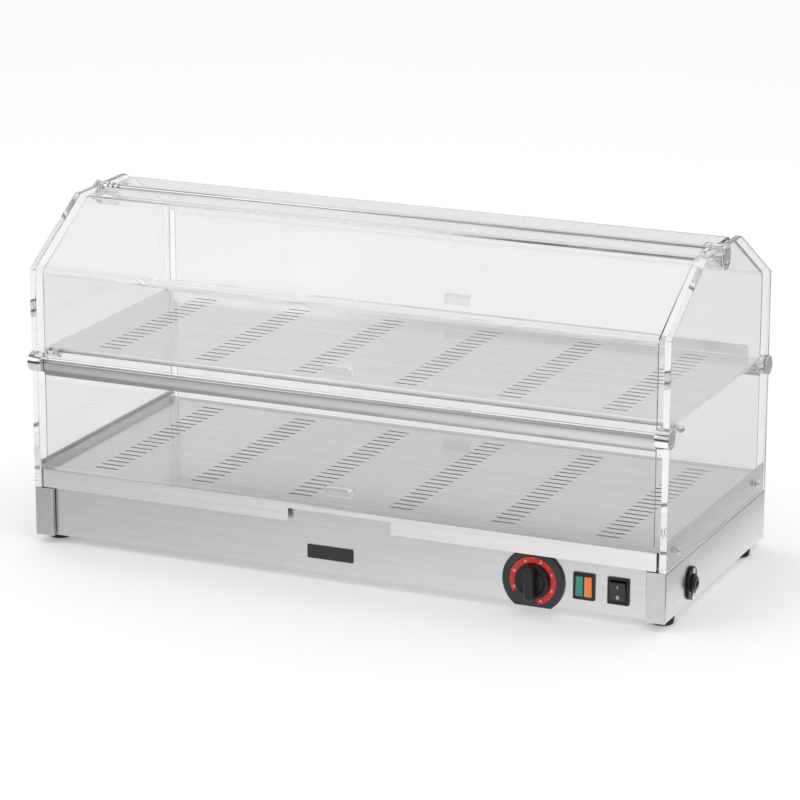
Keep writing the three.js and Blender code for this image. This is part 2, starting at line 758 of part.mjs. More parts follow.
function rocker() {
  const half = rockerHeight / 2;
  const shape = outline([
    [-rockerFaceEnd, half, rockerFaceRadius], [-rockerFaceWaist, 0],
    [-rockerFaceEnd, -half, rockerFaceRadius],
    [rockerBackEnd, -half], [rockerBackWaist, 0], [rockerBackEnd, half],
  ]);
  const level = alongX(shape, [-rockerWidth / 2, rockerWidth / 2], 3);
  const tilt = THREE.MathUtils.degToRad(rockerThrow / 2);
  return level.rotateX(tilt).translate(rockerX, rockerPivotY, frameCentre);
}

const rockerPocket = block(
  [rockerX - rockerWidth / 2 - fit, rockerX + rockerWidth / 2 + fit],
  [frameFront - throughCut, frameFront + rockerPocketDepth],
  [frameCentre - rockerHeight / 2 - rockerPocketMargin, frameCentre + rockerHeight / 2 + rockerPocketMargin]);
addPart('rocker_frame', cut(snapFrame(rockerX), rockerPocket), blackPlastic);
addPart('rocker_button', rocker(), blackPlastic);

const badgeZ = controlZ - badgeDrop;
addPart('name_plate', block([badgeX - badgeWidth / 2, badgeX + badgeWidth / 2],
  [frontFace - fit, frontFace - fit - badgeThickness],
  [badgeZ - badgeHeight / 2, badgeZ + badgeHeight / 2]), blackPlastic);

// ---- Cord gland on the right side ----

function gland() {
  const z = glandZ;
  const straight = (glandHeight - glandWidth) / 2;
  const shape = new THREE.Shape();
  shape.absarc(glandY, z + straight, glandWidth / 2, 0, Math.PI, false);
  shape.absarc(glandY, z - straight, glandWidth / 2, Math.PI, 2 * Math.PI, false);
  const face = halfWidth + fit;
  const plate = alongX(shape, [face, face + glandThickness], 10);
  const bossEnd = face + glandThickness + glandBossLength;
  const neckEnd = halfWidth - glandNeckLength;
  const boss = rod('x', glandBossRadius, [face + bossOverlap, bossEnd], [glandY, z]);
  const neck = rod('x', glandNeckRadius, [neckEnd, face + bossOverlap], [glandY, z]);
  const bore = rod('x', glandBore, [neckEnd - throughCut, bossEnd + throughCut], [glandY, z], 16);
  return cut(join(plate, boss, neck), bore);
}

addPart('cord_gland', gland(), blackPlastic);

// ---- Heating and wiring inside the base ----

// One tubular element laid in three straight runs joined by two bends.
function heaterPath() {
  const reach = heaterBendReach * heaterRunSpacing / 2;
  const path = new THREE.CurvePath();
  const at = (x, y) => new THREE.Vector3(x, y, elementZ);
  const run = (x0, x1, y) => path.add(new THREE.LineCurve3(at(x0, y), at(x1, y)));
  const turn = (x, y0, y1, side) => path.add(new THREE.CubicBezierCurve3(at(x, y0),
    at(x + side * reach, y0), at(x + side * reach, y1), at(x, y1)));
  run(heaterHalfLength, -heaterHalfLength, -heaterRunSpacing);
  turn(-heaterHalfLength, -heaterRunSpacing, 0, -1);
  run(-heaterHalfLength, heaterHalfLength, 0);
  turn(heaterHalfLength, 0, heaterRunSpacing, 1);
  run(heaterHalfLength, -heaterHalfLength, heaterRunSpacing);
  return path;
}

function tube(path, radius, steps, sides) {
  const section = new THREE.Shape();
  for (let side = 0; side < sides; side += 1) {
    const angle = (2 * Math.PI * side) / sides;
    const u = radius * Math.cos(angle);
    const v = radius * Math.sin(angle);
    if (side === 0) {
      section.moveTo(u, v);
    } else {
      section.lineTo(u, v);
    }
  }
  section.closePath();
  return new THREE.ExtrudeGeometry(section, { steps, extrudePath: path, curveSegments: 1 });
}

addPart('heating_element', tube(heaterPath(), heaterRadius, 60, 8), elementSteel);

const bracketTop = elementZ - heaterRadius - fit;
const floorTop = baseBottom + deckSheet + fit;
for (const [endName, end] of ends) {
  const x = end * (heaterHalfLength - bracketInset);
  const ys = [-heaterRunSpacing - bracketOverhang, heaterRunSpacing + bracketOverhang];
  const foot = block([x - bracketFootWidth / 2, x + bracketFootWidth / 2], ys,
    [floorTop, floorTop + deckSheet]);
  const web = block([x - bracketWebThickness / 2, x + bracketWebThickness / 2], ys, [floorTop, bracketTop]);
  addPart(`element_bracket_${endName}`, join(foot, web), steel);
}

function terminalBlock() {
  const ys = [terminalY, terminalY + terminalDepth];
  const baseTop = baseBottom + terminalBaseTop;
  const pitch = (terminalWidth - terminalBarrier) / terminalWays;
  const barriers = [];
  for (let index = 0; index <= terminalWays; index += 1) {
    const x = terminalX + index * pitch;
    barriers.push(block([x, x + terminalBarrier], ys, [baseTop - bossOverlap, baseBottom + terminalTop]));
  }
  return join(block([terminalX, terminalX + terminalWidth], ys, [floorTop, baseTop]), ...barriers);
}

addPart('terminal_block', terminalBlock(), ceramic);

const bulbEnd = bulbX + bulbLength;
addPart('thermostat_bulb', turned([
  [bulbX, 0], [bulbX + screwTail, bulbRadius], [bulbEnd - screwTail, bulbRadius], [bulbEnd, 0],
], [bulbY, deckUnder - bulbDrop], 12), chrome);

export default group;
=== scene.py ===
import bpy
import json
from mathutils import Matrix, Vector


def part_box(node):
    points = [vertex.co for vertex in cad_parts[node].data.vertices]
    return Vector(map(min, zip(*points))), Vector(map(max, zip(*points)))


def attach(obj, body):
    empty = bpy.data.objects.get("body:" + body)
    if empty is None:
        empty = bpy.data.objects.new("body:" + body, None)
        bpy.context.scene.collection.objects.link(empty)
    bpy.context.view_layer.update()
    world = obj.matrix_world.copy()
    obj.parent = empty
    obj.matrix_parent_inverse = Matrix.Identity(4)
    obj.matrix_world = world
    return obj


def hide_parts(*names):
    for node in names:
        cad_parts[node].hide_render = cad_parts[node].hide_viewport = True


bl_info = {
    "name": "Hot food display case",
    "version": (1, 0, 0),
    "blender": (4, 5, 0),
    "location": "View3D > Sidebar > Display Case",
    "description": "Builds the finished pieces of a two-level heated display case round its packed frame",
    "category": "Add Mesh",
}

import json
import math

import bmesh
import bpy
from bpy.props import FloatProperty, FloatVectorProperty, IntProperty, PointerProperty
from mathutils import Matrix, Vector
from mathutils.geometry import delaunay_2d_cdt

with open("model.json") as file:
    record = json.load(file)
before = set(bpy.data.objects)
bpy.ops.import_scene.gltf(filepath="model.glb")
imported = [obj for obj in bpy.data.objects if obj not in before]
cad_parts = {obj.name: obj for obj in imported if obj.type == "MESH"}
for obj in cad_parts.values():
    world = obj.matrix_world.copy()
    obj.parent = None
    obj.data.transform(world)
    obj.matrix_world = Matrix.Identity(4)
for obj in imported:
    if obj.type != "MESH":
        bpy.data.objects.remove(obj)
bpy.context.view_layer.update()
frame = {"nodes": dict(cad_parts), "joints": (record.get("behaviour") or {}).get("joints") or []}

ENDS = (("left", -1), ("right", 1))
FACES = (("front", -1), ("rear", 1))

CASE, KNOB, ROCKER = "case", "dial_knob", "power_rocker"

GAP = 0.0003        # room left between neighbouring pieces
SAME_POINT = 1e-7   # points of a flat pattern nearer than this are one point
OFF_LINE = 1e-8     # an outline point nearer than this to a fold line stands for the crossing
NO_LENGTH = 1e-9


# ---------------------------------------------------------------- outlines in two dimensions

def corner_arc(before, here, after, radius, steps):
    """Points of the arc that turns the corner at here."""
    back, ahead = (before - here).normalized(), (after - here).normalized()
    half = math.acos(max(-1.0, min(1.0, back.dot(ahead)))) / 2
    start = here + back * (radius / math.tan(half))
    end = here + ahead * (radius / math.tan(half))
    centre = here + (back + ahead).normalized() * (radius / math.sin(half))
    a0 = math.atan2(start.y - centre.y, start.x - centre.x)
    a1 = math.atan2(end.y - centre.y, end.x - centre.x)
    sweep = (a1 - a0 + math.pi) % (2 * math.pi) - math.pi
    angles = [a0 + sweep * step / steps for step in range(steps + 1)]
    return [centre + radius * Vector((math.cos(angle), math.sin(angle))) for angle in angles]


def rounded(corners, steps=6):
    """Points through corners (u, v, radius), each turned by a true arc, or sharp if it has no radius."""
    places = [Vector(corner[:2]) for corner in corners]
    points = []
    for index, here in enumerate(places):
        radius = corners[index][2] if len(corners[index]) > 2 else 0.0
        if radius > 0:
            after = places[(index + 1) % len(places)]
            points += corner_arc(places[index - 1], here, after, radius, steps)
        else:
            points.append(here)
    return points


def arc(centre, radius, start, end, steps):
    """Points along an arc, angles in degrees, both ends included."""
    angles = [math.radians(start + (end - start) * step / steps) for step in range(steps + 1)]
    return [Vector((centre[0] + radius * math.cos(a), centre[1] + radius * math.sin(a))) for a in angles]


def circle(u, v, radius, steps=32):
    return arc((u, v), radius, 0, 360, steps)[:-1]


def stadium(u, v, half_length, radius, upright=True, steps=8):
    """A long hole or plate with two half-round ends; half_length reaches to the tip."""
    straight = half_length - radius
    if upright:
        return (arc((u, v + straight), radius, 0, 180, steps)
                + arc((u, v - straight), radius, 180, 360, steps))
    return (arc((u + straight, v), radius, -90, 90, steps)
            + arc((u - straight, v), radius, 90, 270, steps))


def rectangle(u0, u1, v0, v1, radius=0.0, steps=4):
    return rounded([(u0, v0, radius), (u1, v0, radius), (u1, v1, radius), (u0, v1, radius)], steps)


def wound(loop, anticlockwise):
    area = sum(a.x * b.y - b.x * a.y for a, b in zip(loop, loop[1:] + loop[:1]))
    return list(loop) if (area > 0) == anticlockwise else list(reversed(loop))


def without_repeats(loop):
    return [p for p, q in zip(loop, loop[1:] + loop[:1]) if (p - q).length > SAME_POINT]


def split_at(loop, lines, axis):
    """Adds a point wherever the loop crosses one of the lines u = value or v = value."""
    result = []
    for here, ahead in zip(loop, loop[1:] + loop[:1]):
        result.append(here)
        a, b = here[axis], ahead[axis]
        crossed = [c for c in lines if min(a, b) + OFF_LINE < c < max(a, b) - OFF_LINE]
        for c in sorted(crossed, reverse=a > b):
            point = here.lerp(ahead, (c - a) / (b - a))
            point[axis] = c
            result.append(point)
    return result


SHARPEST = 0.3  # holds back the shift at a corner that turns almost right round


def shifted(loop, inset):
    """The loop moved towards its left side, which is where the material lies."""
    if inset == 0:
        return [p.copy() for p in loop]
    moved = []
    for before, here, ahead in zip(loop[-1:] + loop[:-1], loop, loop[1:] + loop[:1]):
        d1, d2 = (here - before).normalized(), (ahead - here).normalized()
        n1, n2 = Vector((-d1.y, d1.x)), Vector((-d2.y, d2.x))
        moved.append(here + (n1 + n2) * (inset / max(SHARPEST, 1 + n1.dot(n2))))
    return moved


def inside(point, loop):
    hit = False
    for a, b in zip(loop, loop[1:] + loop[:1]):
        if (a.y > point.y) != (b.y > point.y) and (
                point.x < (b.x - a.x) * (point.y - a.y) / (b.y - a.y) + a.x):
            hit = not hit
    return hit


class FlatPattern:
    """Tells whether a point of the flat pattern lies on the sheet."""

    def __init__(self, outer, holes):
        self.outer = outer
        self.holes = holes
        self.boxes = [(min(p.x for p in h), max(p.x for p in h), min(p.y for p in h), max(p.y for p in h))
                      for h in holes]

    def holds(self, p):
        return inside(p, self.outer) and not any(
            x0 < p.x < x1 and y0 < p.y < y1 and inside(p, hole)
            for (x0, x1, y0, y1), hole in zip(self.boxes, self.holes))


def rim_levels(thickness, rim, steps):
    """Depth and inset of each contour between the two faces of a sheet with rounded edges."""
    if rim <= 0:
        return [(0.0, 0.0), (thickness, 0.0)]
    quarter = [(rim * (1 - math.cos(a)), rim * (1 - math.sin(a)))
               for a in (math.pi / 2 * k / steps for k in range(steps + 1))]
    return quarter + [(thickness - depth, inset) for depth, inset in reversed(quarter)]


# ---------------------------------------------------------------- solids

def add_rings(bm, loops, levels, place):
    """Rings of corners, one for each level, as (pattern point, vertex) pairs."""
    return [[[(p, bm.verts.new(place(p.x, p.y, depth))) for p in shifted(loop, inset)] for loop in loops]
            for depth, inset in levels]


def skin(bm, rings, smooth):
    """Walls between each ring of loops and the next."""
    for lower, upper in zip(rings, rings[1:]):
        for a, b in zip(lower, upper):
            for i in range(len(a)):
                j = (i + 1) % len(a)
                bm.faces.new((a[i][1], a[j][1], b[j][1], b[i][1])).smooth = smooth


def pattern_edges(ring, pattern, points, folds):
    """Pairs of points that the face of a sheet has to keep as edges: its outlines and its fold lines."""
    edges, first = [], 0
    for loop in ring:
        edges += [(first + i, first + (i + 1) % len(loop)) for i in range(len(loop))]
        first += len(loop)
    for axis in (0, 1):
        for line in folds[axis]:
            on_line = sorted((p[1 - axis], i) for i, p in enumerate(points)
                             if abs(p[axis] - line) < SAME_POINT)
            edges += [(i, j) for (_, i), (_, j) in zip(on_line, on_line[1:])
                      if pattern.holds((points[i] + points[j]) / 2)]
    return edges


def face_sheet(bm, ring, level, place, folds, bent):
    """The face of a sheet inside one ring of loops."""
    points = [p for loop in ring for p, _ in loop]
    verts = [v for loop in ring for _, v in loop]
    pattern = FlatPattern([p for p, _ in ring[0]], [[p for p, _ in loop] for loop in ring[1:]])
    edges = pattern_edges(ring, pattern, points, folds)
    found, _, faces, origins, _, _ = delaunay_2d_cdt(points, edges, [], 0, NO_LENGTH)
    crossings = {}
    for face in faces:
        centre = (found[face[0]] + found[face[1]] + found[face[2]]) / 3
        if not pattern.holds(centre):
            continue
        for k in face:
            if not origins[k] and k not in crossings:
                crossings[k] = bm.verts.new(place(found[k].x, found[k].y, level))
        made = bm.faces.new([verts[origins[k][0]] if origins[k] else crossings[k] for k in face])
        made.smooth = bool(bent and bent(centre.x, centre.y))


def sheet_solid(outer, holes, thickness, place, rim=0.0, rim_steps=2, folds=((), ()), bent=None):
    """A sheet cut to a flat pattern; place(u, v, depth) says where each point of it goes."""
    bm = bmesh.new()
    loops = [wound(without_repeats(outer), True)] + [wound(without_repeats(h), False) for h in holes]
    for axis in (0, 1):
        loops = [split_at(loop, folds[axis], axis) for loop in loops]
    rings = add_rings(bm, loops, rim_levels(thickness, rim, rim_steps), place)
    skin(bm, rings, rim > 0)
    for ring, level in ((rings[0], 0.0), (rings[-1], thickness)):
        face_sheet(bm, ring, level, place, folds, bent)
    bmesh.ops.recalc_face_normals(bm, faces=bm.faces)
    return bm


def along(axis, start):
    """A place for sheet_solid: the pattern stands across an axis and its depth runs along it from start."""
    if axis == "x":
        return lambda u, v, depth: Vector((start + depth, u, v))
    if axis == "y":
        return lambda u, v, depth: Vector((u, start + depth, v))
    return lambda u, v, depth: Vector((u, v, start + depth))


def prism(axis, limits, outer, holes=(), rim=0.0, rim_steps=2):
    low, high = min(limits), max(limits)
    return sheet_solid(outer, holes, high - low, along(axis, low), rim, rim_steps)


class BendPath:
    """A line of corners with a round bend at each inner one, and a sheet's depth on its right-hand side."""

    def __init__(self, corners, radii, steps=5):
        points = [Vector(c) for c in corners]
        self.parts, self.folds, self.bends = [], [], []
        here, travelled = points[0], 0.0
        for index in range(1, len(points)):
            ahead = (points[index] - here).normalized()
            last = index == len(points) - 1
            turn, reach, radius = 0.0, 0.0, 0.0
            if not last:
                after = (points[index + 1] - points[index]).normalized()
                turn = math.atan2(ahead.x * after.y - ahead.y * after.x, ahead.dot(after))
                radius = radii[index - 1]
                reach = radius * math.tan(abs(turn) / 2)
            length = (points[index] - here).length - reach
            self.parts.append((travelled, length, here.copy(), ahead.copy(), 0.0, 0.0))
            travelled += length
            here = here + ahead * length
            if not last:
                self.parts.append((travelled, radius * abs(turn), here.copy(), ahead.copy(), turn, radius))
                self.bends.append((travelled, travelled + radius * abs(turn)))
                self.folds += [travelled + radius * abs(turn) * k / steps for k in range(steps + 1)]
                travelled += radius * abs(turn)
                here = points[index] + after * reach
        self.length = travelled

    def at(self, distance, depth):
        part = self.parts[0]
        for candidate in self.parts:
            if distance >= candidate[0] - NO_LENGTH:
                part = candidate
        start, _, origin, ahead, turn, radius = part
        if turn == 0.0:
            right = Vector((ahead.y, -ahead.x))
            return origin + ahead * (distance - start) + right * depth
        side = 1 if turn > 0 else -1
        centre = origin + Vector((-ahead.y, ahead.x)) * (side * radius)
        arm = (origin - centre) * ((radius + side * depth) / radius)
        angle = side * (distance - start) / radius
        c, s = math.cos(angle), math.sin(angle)
        return centre + Vector((c * arm.x - s * arm.y, s * arm.x + c * arm.y))

    def curved(self, distance):
        return any(a < distance < b for a, b in self.bends)


def lathe(axis, centre, profile, segments=48):
    """A turned solid: profile is (place along the axis, radius), each end on the axis or the line closed."""
    bm = bmesh.new()
    set_out = {"x": lambda p, a, b: Vector((p, centre[0] + a, centre[1] + b)),
               "y": lambda p, a, b: Vector((centre[0] + a, p, centre[1] + b)),
               "z": lambda p, a, b: Vector((centre[0] + a, centre[1] + b, p))}[axis]
    turns = [2 * math.pi * k / segments for k in range(segments)]
    rings = []
    for place, radius in profile:
        if radius <= NO_LENGTH:
            rings.append([bm.verts.new(set_out(place, 0, 0))])
        else:
            rings.append([bm.verts.new(set_out(place, radius * math.cos(turn), radius * math.sin(turn)))
                          for turn in turns])
    closed = len(rings[0]) > 1
    pairs = list(zip(range(len(rings)), range(1, len(rings)))) + ([(len(rings) - 1, 0)] if closed else [])
    for i, j in pairs:
        a, b = rings[i], rings[j]
        level = abs(profile[i][0] - profile[j][0]) < NO_LENGTH
        for k in range(segments):
            m = (k + 1) % segments
            if len(a) == 1:
                face = bm.faces.new((a[0], b[k], b[m]))
            elif len(b) == 1:
                face = bm.faces.new((a[k], a[m], b[0]))
            else:
                face = bm.faces.new((a[k], a[m], b[m], b[k]))
            face.smooth = not level
    bmesh.ops.recalc_face_normals(bm, faces=bm.faces)
    return bm


def turned(corners, centre, segments, side=1, axis="x", steps=3):
    """A turned solid from corners (place, radius, corner radius), with places counted towards side."""
    profile = [(side * place, reach) for place, reach in rounded(corners, steps)]
    return lathe(axis, centre, profile, segments)


def carved(bm, *cutters):
    """The solid with other solids cut out of it."""
    def loose(solid, name):
        mesh = bpy.data.meshes.new(name)
        solid.to_mesh(mesh)
        solid.free()
        made = bpy.data.objects.new(name, mesh)
        bpy.context.scene.collection.objects.link(made)
        return made

    target = loose(bm, "carving")
    tools = [loose(cutter, "cutter") for cutter in cutters]
    for tool in tools:
        step = target.modifiers.new("cut", "BOOLEAN")
        step.operation, step.solver, step.object = "DIFFERENCE", "EXACT", tool
    bpy.context.view_layer.update()
    result = target.evaluated_get(bpy.context.evaluated_depsgraph_get())
    made = bmesh.new()
    made.from_mesh(result.to_mesh())
    result.to_mesh_clear()
    for thing in [target] + tools:
        mesh = thing.data
        bpy.data.objects.remove(thing)
        bpy.data.meshes.remove(mesh)
    return made


ONE_PLACE = 1e-5                # packed vertices nearer than this are welded
FLAT = math.radians(0.5)        # faces that meet at less than this are one flat face
CURVED = math.radians(1)        # faces that meet at more than this, and less than a sharp edge, are a curve
SHARP = math.radians(30)


def softened(node, width):
    """The packed node's own shape with its flat faces made whole and its edges rounded."""
    bm = bmesh.new()
    bm.from_mesh(frame["nodes"][node].data)
    bmesh.ops.remove_doubles(bm, verts=bm.verts, dist=ONE_PLACE)
    bmesh.ops.dissolve_limit(bm, angle_limit=FLAT, verts=bm.verts, edges=bm.edges,
                             use_dissolve_boundaries=False)
    edges = [e for e in bm.edges if len(e.link_faces) == 2 and e.calc_face_angle(0.0) > SHARP]
    for face in bm.faces:
        face.smooth = any(len(e.link_faces) == 2 and CURVED < e.calc_face_angle(0.0) <= SHARP
                          for e in face.edges)
    made = bmesh.ops.bevel(bm, geom=edges, offset=width, segments=2, profile=0.5,
                           affect="EDGES", clamp_overlap=True)
    for face in made["faces"]:
        face.smooth = True
    bmesh.ops.recalc_face_normals(bm, faces=bm.faces)
    return bm


def add_piece(name, bm, look, body, replaces=()):
    """Puts a finished solid in the scene, riding on its body and standing for the nodes it replaces."""
    mesh = bpy.data.meshes.new(name)
    bm.to_mesh(mesh)
    bm.free()
    made = bpy.data.objects.new(name, mesh)
    bpy.context.scene.collection.objects.link(made)
    mesh.materials.append(finish(look))
    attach(made, body)
    if replaces:
        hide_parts(*replaces)
    return made


def middle(node):
    low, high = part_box(node)
    return (low + high) / 2


# ---------------------------------------------------------------- finishes

class Nodes:
    """A node tree with short ways to add nodes to it."""

    def __init__(self, tree):
        self.tree = tree

    def add(self, kind, **values):
        node = self.tree.nodes.new(kind)
        for key, value in values.items():
            setattr(node, key, value)
        return node

    def link(self, source, target):
        self.tree.links.new(source, target)

    def place(self, kind="Object"):
        return self.add("ShaderNodeTexCoord").outputs[kind]

    def axes(self, place):
        split = self.add("ShaderNodeSeparateXYZ")
        self.link(place, split.inputs["Vector"])
        return split.outputs

    def ranged(self, value, low, high, from_low=0.3, from_high=0.7):
        node = self.add("ShaderNodeMapRange")
        limits = {"From Min": from_low, "From Max": from_high, "To Min": low, "To Max": high}
        for key, level in limits.items():
            node.inputs[key].default_value = level
        self.link(value, node.inputs["Value"])
        return node.outputs["Result"]

    def worked(self, operation, a, b, clamp=False):
        """The sum, difference or product of two values."""
        node = self.add("ShaderNodeMath", operation=operation, use_clamp=clamp)
        self.link(a, node.inputs[0])
        self.link(b, node.inputs[1])
        return node.outputs["Value"]

    def chosen(self, share, first, second):
        """The first shader where the share is zero, and the second where it is one."""
        node = self.add("ShaderNodeMixShader")
        self.link(share, node.inputs["Fac"])
        self.link(first, node.inputs[1])
        self.link(second, node.inputs[2])
        return node.outputs["Shader"]

    def only_mirrored(self):
        """One for light that a surface mirrors, and zero for what is seen straight or through clear sheet."""
        ray = self.add("ShaderNodeLightPath").outputs
        return self.worked("SUBTRACT", ray["Is Glossy Ray"], ray["Is Transmission Ray"], True)


class Recipe(Nodes):
    """A named material with its principled shader."""

    def __init__(self, name):
        self.material = bpy.data.materials.new(name)
        self.material.use_nodes = True
        super().__init__(self.material.node_tree)
        self.shader = self.tree.nodes["Principled BSDF"]
        self.surface = self.tree.nodes["Material Output"].inputs["Surface"]

    def set(self, **values):
        for key, value in values.items():
            self.shader.inputs[key.replace("_", " ")].default_value = value

    def noise(self, stretch, detail=3.0, roughness=0.55):
        """Noise in the piece's own place; stretch is the features in each metre, for each axis or for all."""
        mapping = self.add("ShaderNodeMapping")
        mapping.inputs["Scale"].default_value = stretch if isinstance(stretch, list) else [stretch] * 3
        noise = self.add("ShaderNodeTexNoise")
        noise.inputs["Scale"].default_value = 1.0
        noise.inputs["Detail"].default_value = detail
        noise.inputs["Roughness"].default_value = roughness
        self.link(self.place(), mapping.inputs["Vector"])
        self.link(mapping.outputs["Vector"], noise.inputs["Vector"])
        return noise.outputs["Fac"]

    def rough(self, value):
        self.link(value, self.shader.inputs["Roughness"])

    def tinted(self, value, dark, light, from_low=0.3, from_high=0.7):
        """The surface colour between two colours, by a noise value."""
        ramp = self.add("ShaderNodeValToRGB")
        ends = ramp.color_ramp.elements
        ends[0].position, ends[1].position = from_low, from_high
        ends[0].color, ends[1].color = (*dark, 1), (*light, 1)
        self.link(value, ramp.inputs["Fac"])
        self.link(ramp.outputs["Color"], self.shader.inputs["Base Color"])

    def bumped(self, value, height, strength=1.0):
        node = self.add("ShaderNodeBump")
        node.inputs["Strength"].default_value = strength
        node.inputs["Distance"].default_value = height
        self.link(value, node.inputs["Height"])
        self.link(node.outputs["Normal"], self.shader.inputs["Normal"])


def shade(colour, factor):
    return tuple(min(1.0, c * factor) for c in colour[:3])


STEEL = "brushed stainless, grain along the case"
# The base sides, corner flanges included, are the base steel at 0.86 of its colour: painted shade, as they
# catch less light than the front.
SHADED_SIDE_STEEL = "brushed stainless, grain front to rear"
# Deck and shelf are one satin stainless. Their colours are set lighter than the base steel, the shelf's most,
# as painted light that makes up for the clear sheet in front of them.
LIGHTENED_DECK_STEEL, LIGHTENED_SHELF_STEEL = "satin deck stainless", "satin shelf stainless"
# The slot walls of deck and shelf are the steel painted dark, the shelf's less so: painted shade inside the
# slots.
DECK_SLOT_SHADE, SHELF_SLOT_SHADE = "dull cut edge", "bright cut edge"
CHROME, SHEATH, ACRYLIC = "polished chrome", "heat dulled sheath", "clear acrylic"
BLACK, GLOSS_BLACK = "satin black plastic", "gloss black plastic"
RUBBER, CERAMIC = "foot rubber", "control ceramic"
RED, WHITE = "printed red scale", "printed white"
GREEN, AMBER = "green lens", "amber lens"

# Each brushed metal: colour setting, share of that colour, roughness setting, spread of the roughness,
# height of the grain, and the axis that the grain runs along.
BRUSHED = {
    STEEL: ("steel_colour", 1.0, "steel_roughness", 0.05, 0.00002, 0),
    # The sides' share of 0.86 is painted shade, not a different steel.
    SHADED_SIDE_STEEL: ("steel_colour", 0.86, "steel_roughness", 0.05, 0.00002, 1),
    # Deck and shelf: their colour settings hold painted light, the shelf's more than the deck's.
    LIGHTENED_DECK_STEEL: ("deck_colour", 1.0, "deck_roughness", 0.035, 0.00001, 0),
    LIGHTENED_SHELF_STEEL: ("shelf_colour", 1.0, "deck_roughness", 0.035, 0.00001, 0),
    # The slot walls' small shares of the steel colour are painted shade.
    DECK_SLOT_SHADE: ("deck_colour", 0.12, "deck_cut_roughness", 0.05, 0.00001, 0),
    SHELF_SLOT_SHADE: ("shelf_colour", 0.3, "shelf_cut_roughness", 0.05, 0.00001, 0),
}

# Each moulded or printed finish: colour setting, roughness, height of its grain, grains in each metre, coat.
MOULDED = {
    BLACK: ("black_colour", 0.34, 0.00002, 2600.0, 0.0),
    GLOSS_BLACK: ("black_colour", 0.2, 0.00001, 1200.0, 0.3),
    RUBBER: ("rubber_colour", 0.75, 0.00006, 1800.0, 0.0),
    CERAMIC: ("ceramic_colour", 0.55, 0.00003, 900.0, 0.0),
    RED: ("dial_colour", 0.32, 0.00001, 1500.0, 0.0),
    WHITE: ("mark_colour", 0.4, 0.00001, 1500.0, 0.0),
}

LENSES = {GREEN: "green_colour", AMBER: "amber_colour"}


def mix_brushed(name):
    """Metal with fine lines and broad bands along its grain, and a few smudges."""
    metal = bpy.context.scene.case_metal
    colour_key, share, roughness_key, spread, height, grain = BRUSHED[name]
    colour, roughness = shade(getattr(metal, colour_key), share), getattr(metal, roughness_key)
    recipe = Recipe(name)
    lines = recipe.noise([9.0 if axis == grain else 1400.0 for axis in range(3)], 4.0, 0.65)
    bands = recipe.noise([2.5 if axis == grain else 160.0 for axis in range(3)], 2.0)
    smudges = recipe.noise(9.0)
    recipe.tinted(bands, shade(colour, 0.96), shade(colour, 1.03))
    recipe.rough(recipe.worked("ADD", recipe.ranged(lines, roughness - spread, roughness + spread),
                               recipe.ranged(smudges, -0.02, 0.03)))
    recipe.set(Metallic=1.0, Anisotropic=0.55)
    across = recipe.add("ShaderNodeCombineXYZ")
    for axis in range(3):
        across.inputs[axis].default_value = 0.0 if axis == grain else 1.0
    recipe.link(across.outputs["Vector"], recipe.shader.inputs["Tangent"])
    recipe.bumped(lines, height, 0.5)
    return recipe.material


def mix_chrome(name):
    colour = bpy.context.scene.case_metal.chrome_colour
    recipe = Recipe(name)
    cloud = recipe.noise(60.0, 2.0)
    recipe.tinted(cloud, shade(colour, 0.96), shade(colour, 1.0))
    recipe.rough(recipe.ranged(cloud, 0.04, 0.10))
    recipe.set(Metallic=1.0)
    recipe.bumped(recipe.noise(500.0, 1.0), 0.000004, 0.3)
    return recipe.material


def mix_sheath(name):
    """The heating element's sheath, dulled unevenly by heat."""
    recipe = Recipe(name)
    cloud = recipe.noise(40.0, 4.0)
    recipe.tinted(cloud, (0.09, 0.08, 0.075), (0.27, 0.25, 0.24))
    recipe.rough(recipe.ranged(cloud, 0.38, 0.6))
    recipe.set(Metallic=1.0)
    recipe.bumped(recipe.noise(900.0, 2.0), 0.00003, 0.4)
    return recipe.material


def mix_acrylic(name):
    """Clear sheet, slightly hazed by handling; light on its way to a surface goes straight through it."""
    clear = bpy.context.scene.case_acrylic
    recipe = Recipe(name)
    recipe.set(Transmission_Weight=1.0, IOR=clear.index, Metallic=0.0)
    haze = recipe.noise(14.0, 4.0)
    recipe.rough(recipe.ranged(haze, 0.0, clear.haze, 0.45, 0.75))
    recipe.tinted(haze, shade(clear.tint, 0.995), shade(clear.tint, 1.0))
    recipe.bumped(recipe.noise(5.0, 1.0), 0.0002, 0.06)
    through = recipe.add("ShaderNodeBsdfTransparent")
    through.inputs["Color"].default_value = (*clear.shadow_tint, 1)
    shadow = recipe.add("ShaderNodeLightPath").outputs["Is Shadow Ray"]
    recipe.link(recipe.chosen(shadow, recipe.shader.outputs["BSDF"], through.outputs["BSDF"]), recipe.surface)
    return recipe.material


def mix_moulded(name):
    colour_key, roughness, grain_height, grain, coat = MOULDED[name]
    colour = getattr(bpy.context.scene.case_controls, colour_key)
    recipe = Recipe(name)
    cloud = recipe.noise(30.0)
    recipe.tinted(cloud, shade(colour, 0.85), shade(colour, 1.15))
    recipe.rough(recipe.ranged(cloud, roughness - 0.04, roughness + 0.05))
    recipe.set(Coat_Weight=coat, Specular_IOR_Level=0.3)
    recipe.bumped(recipe.noise(grain, 2.0), grain_height, 0.5)
    return recipe.material


